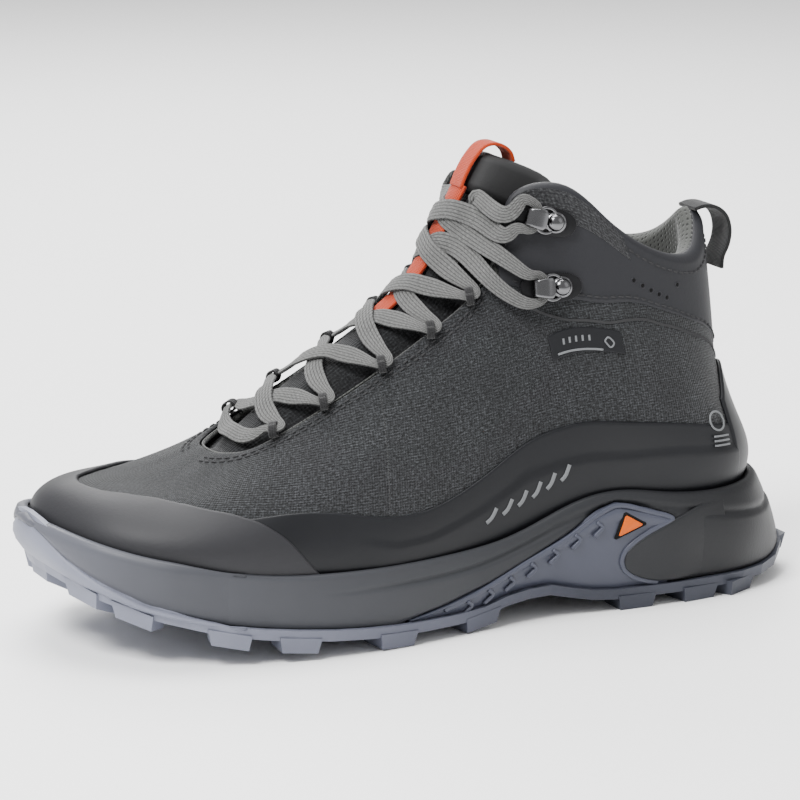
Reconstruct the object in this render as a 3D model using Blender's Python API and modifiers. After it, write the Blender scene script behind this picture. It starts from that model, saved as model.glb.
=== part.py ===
"""Left hiking boot, mid height, laced: every piece of the boot as its own closed solid.

Metres in Blender, millimetres in this file's named sizes. +Z is up, the toe points to -X and the
lateral (outer) side to -Y. The origin is on the ground under the middle of the boot.

The upper is one smooth surface upper(u, v): u counts the stations from the toe (0) back along the
lateral side to the heel (17) and forward along the medial side to the toe again (34), and v runs
from the feather line (0) to the topline and the throat edge (1). Every panel, lining and foam is a
patch of that surface at its own depth. The sole is made of rings around the same stations.
"""

import math

import bmesh
import bpy
import numpy as np
from mathutils import Matrix, Vector

MM = 0.001

# Overall sizes of the boot, over the sole and up to the top of the tongue's pull loop.
LENGTH = 300.0
WIDTH = 110.0
HEIGHT = 169.0

# The control points below are drawn for this size.
DRAWN_SIZE = (300.0, 110.0, 169.0)

CLEARANCE = 0.45        # between two hard pieces that touch
LAYER_GAP = 0.6         # between two curved layers of the upper

# Layers of the upper
SHELL_T = 1.8           # fabric and collar panels
OVERLAY_T = 1.1         # toe cap, film and heel overlay
LINING_T = 0.9
COLLAR_FOAM_T = 4.5
PUFF_T = 0.9            # toe puff and heel stiffener, between shell and lining
TONGUE_T = 4.5

# Sole
LUG_DEPTH = 4.5
OUTSOLE_T = 2.4
STABILISER_T = 2.6
BOARD_T = 1.8
FOOTBED_T = 4.0

# Fittings
LACE_W = 7.5
LACE_TURN_W = 2.4       # the lace gathers where it turns through a loop or a hook
LACE_T = 1.3
WEBBING_W = 9.0
WEBBING_T = 1.2
PULL_LOOP_W = 13.0
HOOK_W = 6.0
HOOK_T = 0.9
RIVET_R = 3.0
RING_R = 2.8            # lace loops, inner radius
RING_T = 0.6
RING_W = 1.8
RING_FLAT = 0.66        # height of a lace loop against its width
RING_LIFT = (RING_R + RING_T) * RING_FLAT + CLEARANCE
RING_CLEAR = 5.4        # straight lace on each side of a loop
RING_INSET = 1.0        # how far the loops' centres lie inside the throat's edge
BADGE_T = 0.8

COLUMNS = 64            # columns around the boot
STATIONS = 34
HEEL = STATIONS // 2

SCALE = np.array([LENGTH, WIDTH, HEIGHT]) / np.array(DRAWN_SIZE)

# One row per station of the lateral side, toe to heel; six points from feather line to top edge.
LATERAL = [
    [(-138.5, 10, 35), (-143.5, 10, 43.5), (-141.5, 9, 51.5), (-129.5, 7, 56.5), (-107, 4, 58),
     (-85, 1, 67)],
    [(-136, -5.5, 34.5), (-141, -6, 43), (-138.5, -5.5, 51), (-126, -5.5, 56), (-105, -5, 58),
     (-84.5, -4, 67)],
    [(-129.5, -20, 33), (-134.5, -22, 42), (-131, -21, 50), (-119.5, -18, 55), (-102, -13.5, 58.2),
     (-83.5, -8.5, 67.3)],
    [(-117, -32, 30.5), (-121.5, -35, 39.5), (-118.5, -33.5, 47.5), (-108.5, -28, 54),
     (-95, -21, 59.2), (-80, -13.5, 68)],
    [(-99.5, -41, 28), (-102.5, -44.5, 37), (-100, -43, 46), (-93.5, -36.5, 54.5),
     (-84.5, -27.5, 61.5), (-74, -17.5, 70)],
    [(-78, -46, 24.5), (-79.5, -49.5, 34.5), (-78, -48, 46), (-73.5, -41.5, 56.8), (-68, -31.5, 66),
     (-63, -20, 75)],
    [(-55, -47.5, 23), (-56, -50.5, 33.5), (-55, -48.5, 47.5), (-52.5, -42, 61.5), (-49.5, -32, 72.5),
     (-47, -21.5, 83)],
    [(-32, -45.5, 23), (-32.5, -48.5, 35), (-31.5, -46, 51), (-29.5, -40, 67), (-27.5, -32, 81),
     (-26, -22.5, 94.5)],
    [(-9, -41.5, 23.5), (-9.5, -44.5, 37.5), (-9, -42.5, 55), (-8, -37.5, 73), (-7, -31, 90),
     (-5.5, -23, 107)],
    [(12, -37.5, 26), (12, -40.5, 41), (12, -39.5, 61), (12, -36, 82), (11.5, -30.5, 102),
     (11, -23, 119.5)],
    [(30, -35, 29), (30, -38.5, 45), (29, -38, 66.5), (27.5, -35, 90), (24.5, -30, 113.5),
     (20.5, -22, 137)],
    [(47, -34.5, 31.5), (47, -38, 48.5), (46, -38, 71), (42, -35, 96), (35, -30.5, 123),
     (26, -22.5, 153)],
    [(64, -34.5, 32.5), (64, -38, 49.5), (63, -38.5, 71), (59.5, -35.5, 95.5), (53.5, -32.5, 121.5),
     (44.5, -29, 154)],
    [(80, -34.5, 32.5), (80.5, -38, 50), (80, -38, 69), (77, -35, 90.5), (72, -33, 113), (63, -32, 139)],
    [(96, -33, 33), (97.5, -37, 49.5), (96.5, -36, 66.5), (92.5, -33, 85.5), (87.5, -31.5, 105.5),
     (81, -31.5, 128)],
    [(110, -28.5, 33), (113, -31.5, 48.5), (110.5, -29.5, 64.5), (106, -26.5, 82.5),
     (102.5, -25, 102), (98, -24.5, 124)],
    [(120.5, -17.5, 33), (125, -19, 47.5), (120.8, -17.8, 62.5), (114.7, -15.5, 81.5),
     (112, -14.5, 102.5), (108.5, -14, 129)],
    [(125, -3, 33), (130.5, -3, 47), (125, -2.5, 62.5), (118.5, -2, 81), (116.6, -1.5, 103),
     (113, -1, 137)],
]
# The toe leans to the medial side: the middle line's share of station 0's y, station by station.
MIDDLE_SHARE = [1, 0.95, 0.8, 0.6, 0.4, 0.2, 0.08] + [0] * 11
# Medial half width against the lateral one at the feather line.
MEDIAL_SHARE = [1, 1, 0.99, 0.97, 0.96, 0.95, 0.92, 0.88, 0.86, 0.85, 0.86, 0.88, 0.9, 0.92, 0.94,
                0.96, 1, 1]

# Seams of the upper, as (station, v) along the lateral side.
TOE_CAP_EDGE = [(0, 0.62), (1, 0.61), (2, 0.57), (3, 0.52), (4, 0.43), (5, 0.27), (5.9, 0.13)]
TOE_CAP_END = 5.85      # station behind the toe cap, where the films reach the midsole
VAMP_SEAM = 6.9
COLLAR_SEAM = [(9, 0.99), (9.6, 0.93), (10, 0.86), (11, 0.745), (12, 0.735), (13, 0.79), (14, 0.81),
               (15, 0.78), (16, 0.69), (17, 0.65)]
FILM_TOP = [(4, 0.5), (4.6, 0.52), (5.5, 0.50), (7, 0.34), (7.6, 0.33), (8.6, 0.37), (9.6, 0.42),
            (10.5, 0.41), (12, 0.39), (13.6, 0.39), (15, 0.38)]
HEEL_OVERLAY_TOP = [(15, 0.46), (15.4, 0.57), (15.9, 0.62), (16.4, 0.62), (17, 0.6)]
FOAM_START = 12.4       # station where the collar's padding starts
PUFF_END = 3.4          # station where the toe puff ends
COUNTER_START = 13.2    # station where the heel counter starts
STIFFENER_TOP = 0.5     # v where toe puff and heel counter end
LINING_FOOT = 0.075     # v where the lining starts, above the footbed's edge
COLLAR_FRONT = 9.7      # station where the collar panels start
SEAM_GAP = 0.1          # open seam between two shells, in stations
OVERLAY_FOOT = 0.03     # v where the overlays start, inside the midsole's cup

# The ground under the lugs, as (x, z): toe spring, arch, flat heel and a bevelled heel end.
GROUND_LINE = [(-152, 28), (-137, 20), (-122, 13.5), (-95, 6.5), (-76, 3.8), (-56, 1.8), (-35, 0.4),
               (-12, 0), (2, 0.8), (18, 4.5), (33, 4.8), (46, 1.2), (58, 0), (130, 0), (140, 2.5),
               (152, 10)]

# Sole wall at each lateral station: how far it stands out from the upper's feather line at its
# foot, at mid height and at its lip, and how high the lip is.
SOLE_WALL = [
    (5.5, 8.5, 8.6, 45.5), (5.5, 8.5, 8.7, 45), (5, 7.5, 8.4, 42.5), (4.5, 6.5, 7.8, 38.5),
    (4.5, 6.3, 6.6, 35), (4.5, 6.2, 6.2, 32), (4.8, 6.5, 6, 30.7), (4.8, 6.8, 6, 30.3),
    (4.6, 7, 6.1, 30.8), (4.5, 7.5, 6.6, 33), (5, 8.5, 7.2, 38.5), (5.5, 9, 7.4, 44),
    (6, 9.5, 7.4, 45), (6.5, 10, 7.4, 42.5), (7, 10.5, 7.8, 41), (9.5, 12.5, 8.8, 41),
    (15, 15, 10.5, 41), (20.5, 17.5, 12, 41),
]
# Height of the outsole's rim above its base; the rubber climbs the toe as a bumper.
RIM_HEIGHT = [18, 16.5, 11, 4.5, 1.6] + [1.6] * 11 + [1.8, 2]
# Lugs: stations of the edge ones, and (x, side) of the middle ones.
EDGE_LUGS = [1.35, 2.75, 4.15, 5.55, 7.0, 8.35, 12.45, 13.75, 15.05]
MIDDLE_LUGS = [(-112, 1), (-92, -1), (-72, 1), (-52, -1), (-32, 1), (-12, -1), (72, 1), (92, -1),
               (112, 1)]
# The stabiliser's wing: (x, height of its rim above the ground).
WING_RIM = [(-30, 9.5), (-14, 13), (4, 18), (21, 24.6), (37, 31.4), (50, 39), (58, 41.4), (71, 38),
            (84, 33)]

# Tongue: middle line of its face (x, z), half width and how far its sides fall behind the face.
TONGUE_LINE = [(-101, 50.5), (-86, 60), (-70, 72.5), (-50, 87), (-28, 101), (-9, 114), (2.5, 127.5),
               (9.5, 140), (14.5, 149.5), (19, 157.5), (23.5, 165)]
TONGUE_HALF = [24, 25, 26, 26, 25, 24, 22, 19.5, 18.5, 18.5, 18]
TONGUE_FALL = [7, 9, 13, 17, 18.5, 19, 19, 19.5, 21, 23, 25]
TONGUE_DROP = [1, 1, 1, 1, 1, 1, 1, 1, 0.85, 0.6, 0.4]   # how far the sides hang at each point
TONGUE_SHOULDER = 0.8   # share of the half width where the padded middle ends in a flat wing
TONGUE_START = 0.7      # under the vamp
TONGUE_CREASE = (16, 152)   # (x, z) of the crease that the head leans about
TONGUE_SEAM = 8.3       # place along TONGUE_LINE where the head starts

# Lace loops sit along the throat edge at these stations, hooks on the collar panel at (u, v).
LOOP_STATIONS = [4.75, 5.95, 7.0, 7.9, 8.8]
HOOK_PLACES = [(10.95, 0.785), (11.35, 0.935)]
HOOK_TILT = math.radians(24)
HOOK_LIFT = 1.2         # the curved panel bows under the flat plate
HOOK_LINE = [(-8, HOOK_T), (-2, HOOK_T), (3.6, HOOK_T), (5.8, 2), (6.3, 3.9), (5.3, 5.8), (3, 6.5),
             (0.2, 6.3), (-1.6, 5.6)]
RIVET_BACK = -5.2
RIVET_RISE = 1.5
# The lace around a hook's neck: toward the throat, along the neck, out of the panel, lace width.
HOOK_TURN = [(8.5, -5.2, 3.1, 4.4), (3.2, -4.2, 3.1, LACE_TURN_W), (1.6, 0, 3.1, LACE_TURN_W),
             (3.2, 4.2, 3.1, LACE_TURN_W), (8.5, 5.4, 3.5, 4.4)]

# Lace: lift of its middle over the tongue, and the extra lift of the strand that crosses over.
LACE_LIFT = 3.1
LACE_STEP = 2.0
HOOK_CROSSING = [6.35, 7.35]
HOOK_APPROACH = [(-0.35, 9), (-0.17, 4.5), (0, 0), (0.17, -4.5), (0.35, -9)]
# Where it passes over the throat's edge before and after each hook: station, lift.
HOOK_EDGES = [((9.3, 3.6), (9.85, 3.6)), ((10.15, 3.6), (10.5, 4))]
LACE_END = [(8.4, 7, 3.4), (8.1, 7.8, 1.8), (7.8, 8.4, 1.25), (7.2, 8.8, 1.25), (6.6, 9, 1.25),
            (6.1, 9, 1.25)]

WEBBING_START = 4.3
WEBBING_LIFT = 0.5
TONGUE_LOOP_LINE = [(14.4, 153.9), (16.3, 158.3), (19.6, 163.8), (24.2, 168.2), (29, 168.4),
                    (33.2, 165.6),
                    (34.6, 162)]
HEEL_LOOP_LINE = [(119.8, 116.5), (120.2, 121), (122.4, 126), (123, 131), (121.4, 136), (117.4, 139.2),
                  (112.5, 139.9), (108.8, 139)]


# ---------------------------------------------------------------- curves and surfaces

def slope_matrix(count, periodic):
    """Matrix that turns the points of a cubic spline, one apart, into its slopes."""
    left = np.zeros((count, count))
    right = np.zeros((count, count))
    for i in range(count):
        before, after = (i - 1) % count, (i + 1) % count
        if not periodic and i in (0, count - 1):
            inner = 1 if i == 0 else count - 2
            sign = 1 if i == 0 else -1
            left[i, i], left[i, inner] = 2, 1
            right[i, inner], right[i, i] = 3 * sign, -3 * sign
        else:
            left[i, before], left[i, i], left[i, after] = 1, 4, 1
            right[i, after], right[i, before] = 3, -3
    return np.linalg.solve(left, right)


def spline_weights(places, count, periodic):
    """Weights of the spline's points at each place, one row per place."""
    slopes = slope_matrix(count, periodic)
    places = np.atleast_1d(np.asarray(places, float))
    if periodic:
        first = np.floor(places).astype(int)
    else:
        first = np.clip(np.floor(places).astype(int), 0, count - 2)
    t = (places - first)[:, None]
    a, b = first % count, (first + 1) % count
    points = np.eye(count)
    return ((1 + 2 * t) * (1 - t) ** 2 * points[a] + t * t * (3 - 2 * t) * points[b]
            + t * (1 - t) ** 2 * slopes[a] + t * t * (t - 1) * slopes[b])


def along(values, places):
    """Smooth curve through the values, read at places counted in values."""
    return spline_weights(places, len(values), False) @ np.asarray(values, float)


def fold(stations):
    """Stations of the medial side read as the lateral ones they mirror."""
    return np.abs((np.asarray(stations, float) + HEEL) % STATIONS - HEEL)


def both_sides(lateral_values, stations):
    """A value given for stations 0 to 17 of one side, read at any station of either side."""
    return along(lateral_values, fold(stations))


def seam(points, stations):
    """Height v of a seam given as (station, v) pairs for one side, at any station."""
    return np.interp(fold(stations), [p[0] for p in points], [p[1] for p in points])


def control_net():
    """All stations of the upper: the lateral rows, and the medial rows mirrored from them."""
    lateral = np.array(LATERAL, float)
    rows = lateral.shape[1]
    net = np.zeros((STATIONS, rows, 3))
    net[:HEEL + 1] = lateral
    height = np.linspace(0, 1, rows)
    for k in range(1, HEEL):
        middle = lateral[0, :, 1] * MIDDLE_SHARE[k] + lateral[HEEL, :, 1] * max(0, k - 12) / 5
        share = 1 + (MEDIAL_SHARE[k] - 1) * (1 - height)
        net[STATIONS - k] = lateral[k]
        net[STATIONS - k, :, 1] = middle + (middle - lateral[k, :, 1]) * share
    return net * SCALE


NET = control_net()


def upper_point(u, v):
    """Points of the upper's outer surface, in millimetres."""
    around = spline_weights(u, STATIONS, True)
    rows = NET.shape[1]
    up = spline_weights(np.asarray(v, float) * (rows - 1), rows, False)
    return np.einsum("ns,nr,src->nc", around, up, NET)


def upper(u, v, out=0.0):
    """Points of the upper, moved out along its normal."""
    u, v = np.broadcast_arrays(np.atleast_1d(np.asarray(u, float)), np.asarray(v, float))
    step = 0.02
    across = upper_point(u + step, v) - upper_point(u - step, v)
    rise = upper_point(u, np.minimum(v + step, 1)) - upper_point(u, np.maximum(v - step, 0))
    normal = np.cross(across, rise)
    normal /= np.linalg.norm(normal, axis=1)[:, None]
    return upper_point(u, v) + normal * np.broadcast_to(out, u.shape)[:, None]


def ground(x):
    """Height of the ground under the lugs at x, both in millimetres."""
    drawn = np.asarray(x, float) / SCALE[0]
    return np.interp(drawn, [p[0] for p in GROUND_LINE], [p[1] for p in GROUND_LINE]) * SCALE[2]


# ---------------------------------------------------------------- making objects

def start_scene():
    for old in list(bpy.data.objects):
        bpy.data.objects.remove(old, do_unlink=True)
    made = {}
    for name in ("Hiking boot", "Cutters"):
        made[name] = bpy.data.collections.new(name)
        bpy.context.scene.collection.children.link(made[name])
    return made["Hiking boot"], made["Cutters"]


BOOT, CUTTERS = start_scene()

MATERIALS = {}


def material(name, colour, roughness, metallic=0.0):
    if name not in MATERIALS:
        made = bpy.data.materials.new(name)
        made.use_nodes = True
        shader = made.node_tree.nodes["Principled BSDF"]
        shader.inputs["Base Color"].default_value = (*colour, 1)
        shader.inputs["Roughness"].default_value = roughness
        shader.inputs["Metallic"].default_value = metallic
        MATERIALS[name] = made
    return MATERIALS[name]


FABRIC = ("melange fabric", (0.045, 0.047, 0.049), 0.9)
FILM = ("matt film", (0.022, 0.024, 0.026), 0.5)
CAP = ("toe cap synthetic", (0.06, 0.06, 0.062), 0.55)
COLLAR = ("collar synthetic", (0.05, 0.05, 0.054), 0.6)
LINING = ("lining knit", (0.14, 0.14, 0.13), 0.95)
FOAM = ("foam", (0.3, 0.3, 0.28), 0.95)
EVA = ("midsole foam", (0.075, 0.075, 0.08), 0.6)
RUBBER = ("outsole rubber", (0.22, 0.23, 0.3), 0.55)
PLASTIC = ("stabiliser plastic", (0.17, 0.175, 0.23), 0.4)
BOARD = ("lasting board", (0.4, 0.38, 0.33), 0.9)
ORANGE = ("orange webbing", (0.95, 0.13, 0.01), 0.75)
BADGE = ("orange badge", (0.85, 0.26, 0.03), 0.35)
BLACK_TAPE = ("black webbing", (0.02, 0.02, 0.02), 0.85)
LACE = ("grey lace", (0.23, 0.23, 0.225), 0.85)
METAL = ("gunmetal", (0.25, 0.25, 0.26), 0.25, 1.0)


def new_object(name, points, faces, look, collection=None):
    """A mesh object from points in millimetres, with its faces turned outward."""
    mesh = bpy.data.meshes.new(name)
    mesh.from_pydata([tuple(p) for p in np.asarray(points, float) * MM], [], faces)
    made = bpy.data.objects.new(name, mesh)
    (collection or BOOT).objects.link(made)
    mesh.materials.append(material(*look))
    mesh.shade_smooth()
    return made


def solidify(made, thickness):
    """Gives an open sheet its thickness, inward from the sheet."""
    layer = made.modifiers.new("Thickness", "SOLIDIFY")
    layer.thickness = thickness * MM
    layer.offset = -1
    layer.use_even_offset = True
    return made


def grid_faces(columns, rows, closed=False):
    """Quads of a grid whose points are listed column by column."""
    faces = []
    for i in range(columns if closed else columns - 1):
        a, b = i * rows, (i + 1) % columns * rows
        for j in range(rows - 1):
            faces.append((a + j, b + j, b + j + 1, a + j + 1))
    return faces


def column_places(start, end):
    """The shared columns from one station to another, with both ends."""
    step = STATIONS / COLUMNS
    inner = [i * step for i in range(-COLUMNS, 2 * COLUMNS) if start + 0.2 < i * step < end - 0.2]
    return np.array([start] + inner + [end])


def panel(name, start, end, low, high, rows, out, thickness, look):
    """A patch of the upper between two seams, from one station to another."""
    closed = end - start >= STATIONS
    stations = column_places(start, end)
    if closed:
        stations = stations[:-1]
    share = np.linspace(0, 1, rows)
    places = [(u, low(u) + (high(u) - low(u)) * s) for u in stations for s in share]
    u, v = np.array([p[0] for p in places]), np.array([float(p[1]) for p in places])
    depth = out(u, v) if callable(out) else out
    made = new_object(name, upper(u, v, depth), grid_faces(len(stations), rows, closed), look)
    return solidify(made, thickness)


def slab(name, outer, inner, columns, rows, look, closed=False):
    """A closed solid between two grids of the same layout."""
    count = len(outer)
    faces = grid_faces(columns, rows, closed)
    faces += [tuple(count + i for i in reversed(face)) for face in faces]
    for i in range(columns if closed else columns - 1):
        a, b = i * rows, (i + 1) % columns * rows
        faces.append((b, a, count + a, count + b))
        faces.append((a + rows - 1, b + rows - 1, count + b + rows - 1, count + a + rows - 1))
    if not closed:
        last = (columns - 1) * rows
        for j in range(rows - 1):
            faces.append((j, j + 1, count + j + 1, count + j))
            faces.append((last + j + 1, last + j, count + last + j, count + last + j + 1))
    return new_object(name, np.concatenate([outer, inner]), faces, look)


def ring_solid(name, rings, look):
    """A closed solid around the boot: rings from the inside of its top down to its underside."""
    count = len(rings[0])
    points = np.stack(rings, axis=1).reshape(-1, 3)
    rows = len(rings)
    faces = [tuple(reversed(face)) for face in grid_faces(count, rows, closed=True)]
    half = count // 2
    for row, upward in ((0, True), (rows - 1, False)):
        for i in range(half):
            corners = [i, i + 1, count - i - 1, (count - i) % count]
            corners = [c * rows + row for c in dict.fromkeys(corners)]
            faces.append(tuple(corners if upward else reversed(corners)))
    return new_object(name, points, faces, look)


# ---------------------------------------------------------------- sole

RING = np.arange(COLUMNS) * STATIONS / COLUMNS


def sole_outline():
    """Plan of the feather line and its outward direction at every column."""
    foot = upper_point(RING, np.zeros(COLUMNS))
    way = np.roll(foot, -1, axis=0) - np.roll(foot, 1, axis=0)
    outward = np.stack([way[:, 1], -way[:, 0], 0 * way[:, 0]], axis=1)
    return foot, outward / np.linalg.norm(outward, axis=1)[:, None]


FOOT, OUTWARD = sole_outline()
WALL = [both_sides([row[i] for row in SOLE_WALL], RING) for i in range(4)]
LIP_Z = WALL[3] * SCALE[2]


def ring_at(distance, height):
    """Ring around the boot, a distance out from the feather line, at a height."""
    ring = FOOT + OUTWARD * np.broadcast_to(distance, COLUMNS)[:, None]
    ring[:, 2] = height
    return ring


def wall_distance(share):
    """How far the sole's wall stands out, from its foot (0) to its lip (1)."""
    foot, middle, lip = WALL[:3]
    return foot + share * (4 * middle - 3 * foot - lip) + share ** 2 * (2 * foot + 2 * lip - 4 * middle)


def base_height():
    """Top of the outsole's base at every column."""
    return ground(ring_at(WALL[0], 0)[:, 0]) + LUG_DEPTH + OUTSOLE_T


BASE_Z = base_height()
MIDSOLE_FOOT_Z = BASE_Z + CLEARANCE


def wall_ring(share, out=0.0):
    height = MIDSOLE_FOOT_Z + (LIP_Z - MIDSOLE_FOOT_Z) * share
    return ring_at(wall_distance(share) + out, height)


def height_on_upper(height):
    """The v at which the upper passes a height, at every column."""
    levels = np.linspace(0, 0.4, 21)
    rise = np.array([upper_point(RING, np.full(COLUMNS, v))[:, 2] for v in levels])
    return np.array([np.interp(height[i], rise[:, i], levels) for i in range(COLUMNS)])


LIP_V = height_on_upper(LIP_Z)
FLOOR_Z = FOOT[:, 2] - CLEARANCE
INNER_GAP = OVERLAY_T + 2 * LAYER_GAP + 0.2

WING_COLUMNS = [i for i in range(COLUMNS // 2) if -30 * SCALE[0] < FOOT[i, 0] < 80 * SCALE[0]]
WING_INSET = np.zeros(COLUMNS)
for i in WING_COLUMNS:
    WING_INSET[[i, -i]] = STABILISER_T + CLEARANCE


def midsole():
    """Foam midsole with a cup that holds the upper, narrower where the stabiliser wraps it."""
    rings = [ring_at(INNER_GAP, FLOOR_Z)]
    for share in (0.5, 1.0):
        beside = upper_point(RING, LIP_V * share)
        reach = np.einsum("nc,nc->n", beside - FOOT, OUTWARD)
        rings.append(ring_at(reach + INNER_GAP, beside[:, 2]))
    for share in (1.0, 0.8, 0.55, 0.3, 0.0):
        rings.append(wall_ring(share, -WING_INSET))
    rings[-1][:, 2] += WING_INSET
    return ring_solid("midsole", rings, EVA)


def outsole_body():
    """Rubber base with a rim that climbs the toe."""
    rim = MIDSOLE_FOOT_Z + both_sides(RIM_HEIGHT, RING) - CLEARANCE
    share = (rim - MIDSOLE_FOOT_Z) / (LIP_Z - MIDSOLE_FOOT_Z)
    foot = wall_distance(0.0) + CLEARANCE
    rings = [ring_at(foot, BASE_Z)]
    for part in (0.33, 0.67, 1.0):
        rings.append(ring_at(wall_distance(share * part) + CLEARANCE, BASE_Z + (rim - BASE_Z) * part))
    for part in (1.0, 0.67, 0.33):
        rings.append(ring_at(wall_distance(share * part) + CLEARANCE + OUTSOLE_T * 0.9,
                             BASE_Z + (rim - BASE_Z) * part))
    rings.append(ring_at(foot + OUTSOLE_T * 0.7, BASE_Z - OUTSOLE_T))
    return ring_solid("outsole", rings, RUBBER)


def block(mesh, middle, size, turn, foot_z, top_z, taper=0.84):
    """One lug: a cube stretched between two heights, turned in plan and narrower at the ground."""
    made = bmesh.ops.create_cube(mesh, size=1.0)
    for corner in made["verts"]:
        at_foot = corner.co.z < 0
        shrink = taper if at_foot else 1.0
        x, y = corner.co.x * size[0] * shrink, corner.co.y * size[1] * shrink
        px = middle[0] + x * math.cos(turn) - y * math.sin(turn)
        py = middle[1] + x * math.sin(turn) + y * math.cos(turn)
        z = (foot_z if at_foot else top_z) + float(ground(px))
        corner.co = Vector((px, py, z)) * MM


def lugs():
    """All the lugs as one solid, which a Boolean joins to the outsole."""
    mesh = bmesh.new()
    for side in (1, -1):
        for place in EDGE_LUGS:
            column = int(round(side * place * COLUMNS / STATIONS)) % COLUMNS
            edge = FOOT[column] + OUTWARD[column] * (WALL[0][column] + OUTSOLE_T - 7.2)
            turn = math.atan2(OUTWARD[column][1], OUTWARD[column][0])
            block(mesh, edge, (15, 15.5), turn, 0, LUG_DEPTH + 1.2)
    for x, side in MIDDLE_LUGS:
        wide = 11 if x > 0 else 16
        block(mesh, (x * SCALE[0], side * 7), (8, wide), side * 0.5, 0.2, LUG_DEPTH + 1.2)
        block(mesh, (x * SCALE[0] - 4, -side * 11), (8, wide * 0.8), -side * 0.6, 0.2, LUG_DEPTH + 1.2)
    for place, size in ((0, (10, 17)), (HEEL, (11, 20))):
        column = int(place * COLUMNS / STATIONS)
        edge = FOOT[column] + OUTWARD[column] * (WALL[0][column] + OUTSOLE_T - 6)
        turn = math.atan2(OUTWARD[column][1], OUTWARD[column][0])
        block(mesh, edge, size, turn, 0, LUG_DEPTH + 1.2)
    made = bpy.data.meshes.new("lugs")
    mesh.to_mesh(made)
    mesh.free()
    solid = bpy.data.objects.new("lugs", made)
    CUTTERS.objects.link(solid)
    solid.hide_render = True
    solid.display_type = "WIRE"
    return solid


def outsole():
    body = outsole_body()
    union = body.modifiers.new("Lugs", "BOOLEAN")
    union.operation = "UNION"
    union.solver = "EXACT"
    union.use_self = True
    union.object = lugs()
    return body


def wing_share(column):
    """How far up the sole's wall the stabiliser's rim lies at a column."""
    x = FOOT[column, 0] / SCALE[0]
    rim = np.interp(x, [p[0] for p in WING_RIM], [p[1] for p in WING_RIM]) * SCALE[2]
    foot = MIDSOLE_FOOT_Z[column]
    return max(0.08, (rim - foot) / (LIP_Z[column] - foot))


def stabiliser():
    """Plastic plate under the arch with a wing up each side of the midsole."""
    points = []
    for i in WING_COLUMNS:
        sides = []
        for column in (i, -i):
            rim = wing_share(column)
            side = [wall_ring(rim * part)[column] for part in (1.0, 0.66, 0.33, 0.0)]
            sides.append(side)
        middle = (sides[0][-1] + sides[1][-1]) / 2
        points += sides[0] + [middle] + sides[1][::-1]
    rows = 9
    faces = [tuple(reversed(face)) for face in grid_faces(len(WING_COLUMNS), rows)]
    made = new_object("arch_stabiliser", points, faces, PLASTIC)
    return solidify(made, STABILISER_T)


def badge(name, side):
    """Small triangular badge on the stabiliser's wing."""
    points = []
    for station, height in ((11.62, 0.93), (12.4, 0.86), (11.75, 0.55)):
        column = side * station * COLUMNS / STATIONS
        low, high = int(math.floor(column)), int(math.ceil(column))
        part = column - low
        share = height * (wing_share(low) * (1 - part) + wing_share(high) * part)
        ring = wall_ring(share, LAYER_GAP + BADGE_T)
        points.append(ring[low % COLUMNS] * (1 - part) + ring[high % COLUMNS] * part)
    face = (0, 1, 2) if side > 0 else (2, 1, 0)
    made = new_object(name, points, [face], BADGE)
    made.data.flip_normals()
    return solidify(made, BADGE_T)


def plate(name, inset, foot, thickness, look):
    """A flat insert that fills the upper's plan, a distance in from the feather line."""
    ring = ring_at(-inset, FOOT[:, 2] + foot + thickness)
    under = ring_at(-inset, FOOT[:, 2] + foot)
    return ring_solid(name, [ring, under], look)


# ---------------------------------------------------------------- upper

def foam_share(u, v):
    """How much of the collar's padding there is at a place of the upper, 0 to 1."""
    behind = np.clip((fold(u) - FOAM_START + 1.2) / 1.2, 0, 1)
    above = np.clip((v - (seam(COLLAR_SEAM, u) - 0.12)) / 0.12, 0, 1)
    return behind * above


def stiffener_share(u, v):
    """Where the lining makes room for the toe puff and the heel counter, 0 to 1."""
    toe = np.clip((PUFF_END + 1 - fold(u)) * 2, 0, 1)
    heel = np.clip((fold(u) - COUNTER_START + 1) * 2, 0, 1)
    return np.maximum(toe, heel) * np.clip((STIFFENER_TOP + 0.14 - v) / 0.1, 0, 1)


def lining_depth(u, v):
    """Depth of the lining's outer face under the upper's surface; it makes room for foam and puff."""
    stiffener = (PUFF_T + LAYER_GAP) * stiffener_share(u, v)
    foam = (COLLAR_FOAM_T + LAYER_GAP) * foam_share(u, v)
    return -(SHELL_T + LAYER_GAP + np.maximum(stiffener, foam))


def constant(value):
    return lambda u: value


def on_seam(points, shift=0.0):
    return lambda u: seam(points, u) + shift


def shells():
    """Vamp, quarters and collar panels: the outer layer of the upper."""
    lateral, medial = VAMP_SEAM, STATIONS - VAMP_SEAM
    panel("vamp", SEAM_GAP - lateral, lateral - SEAM_GAP, constant(0), constant(1), 9, 0, SHELL_T, FABRIC)
    under_collar = on_seam(COLLAR_SEAM, -0.006)
    panel("quarter_lateral", lateral, HEEL - SEAM_GAP, constant(0), under_collar, 9, 0, SHELL_T, FABRIC)
    panel("quarter_medial", HEEL, medial, constant(0), under_collar, 9, 0, SHELL_T, FABRIC)
    above = on_seam(COLLAR_SEAM, 0.006)
    panel("collar_panel_lateral", COLLAR_FRONT, HEEL - SEAM_GAP, above, constant(1), 4, 0, SHELL_T,
          COLLAR)
    panel("collar_panel_medial", HEEL, STATIONS - COLLAR_FRONT, above, constant(1), 4, 0, SHELL_T, COLLAR)


def film_foot(u):
    """Lower edge of the films: beside the toe cap's edge, then inside the midsole's cup."""
    return np.where(fold(u) < TOE_CAP_END, seam(TOE_CAP_EDGE, u) + 0.035, OVERLAY_FOOT)


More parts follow.
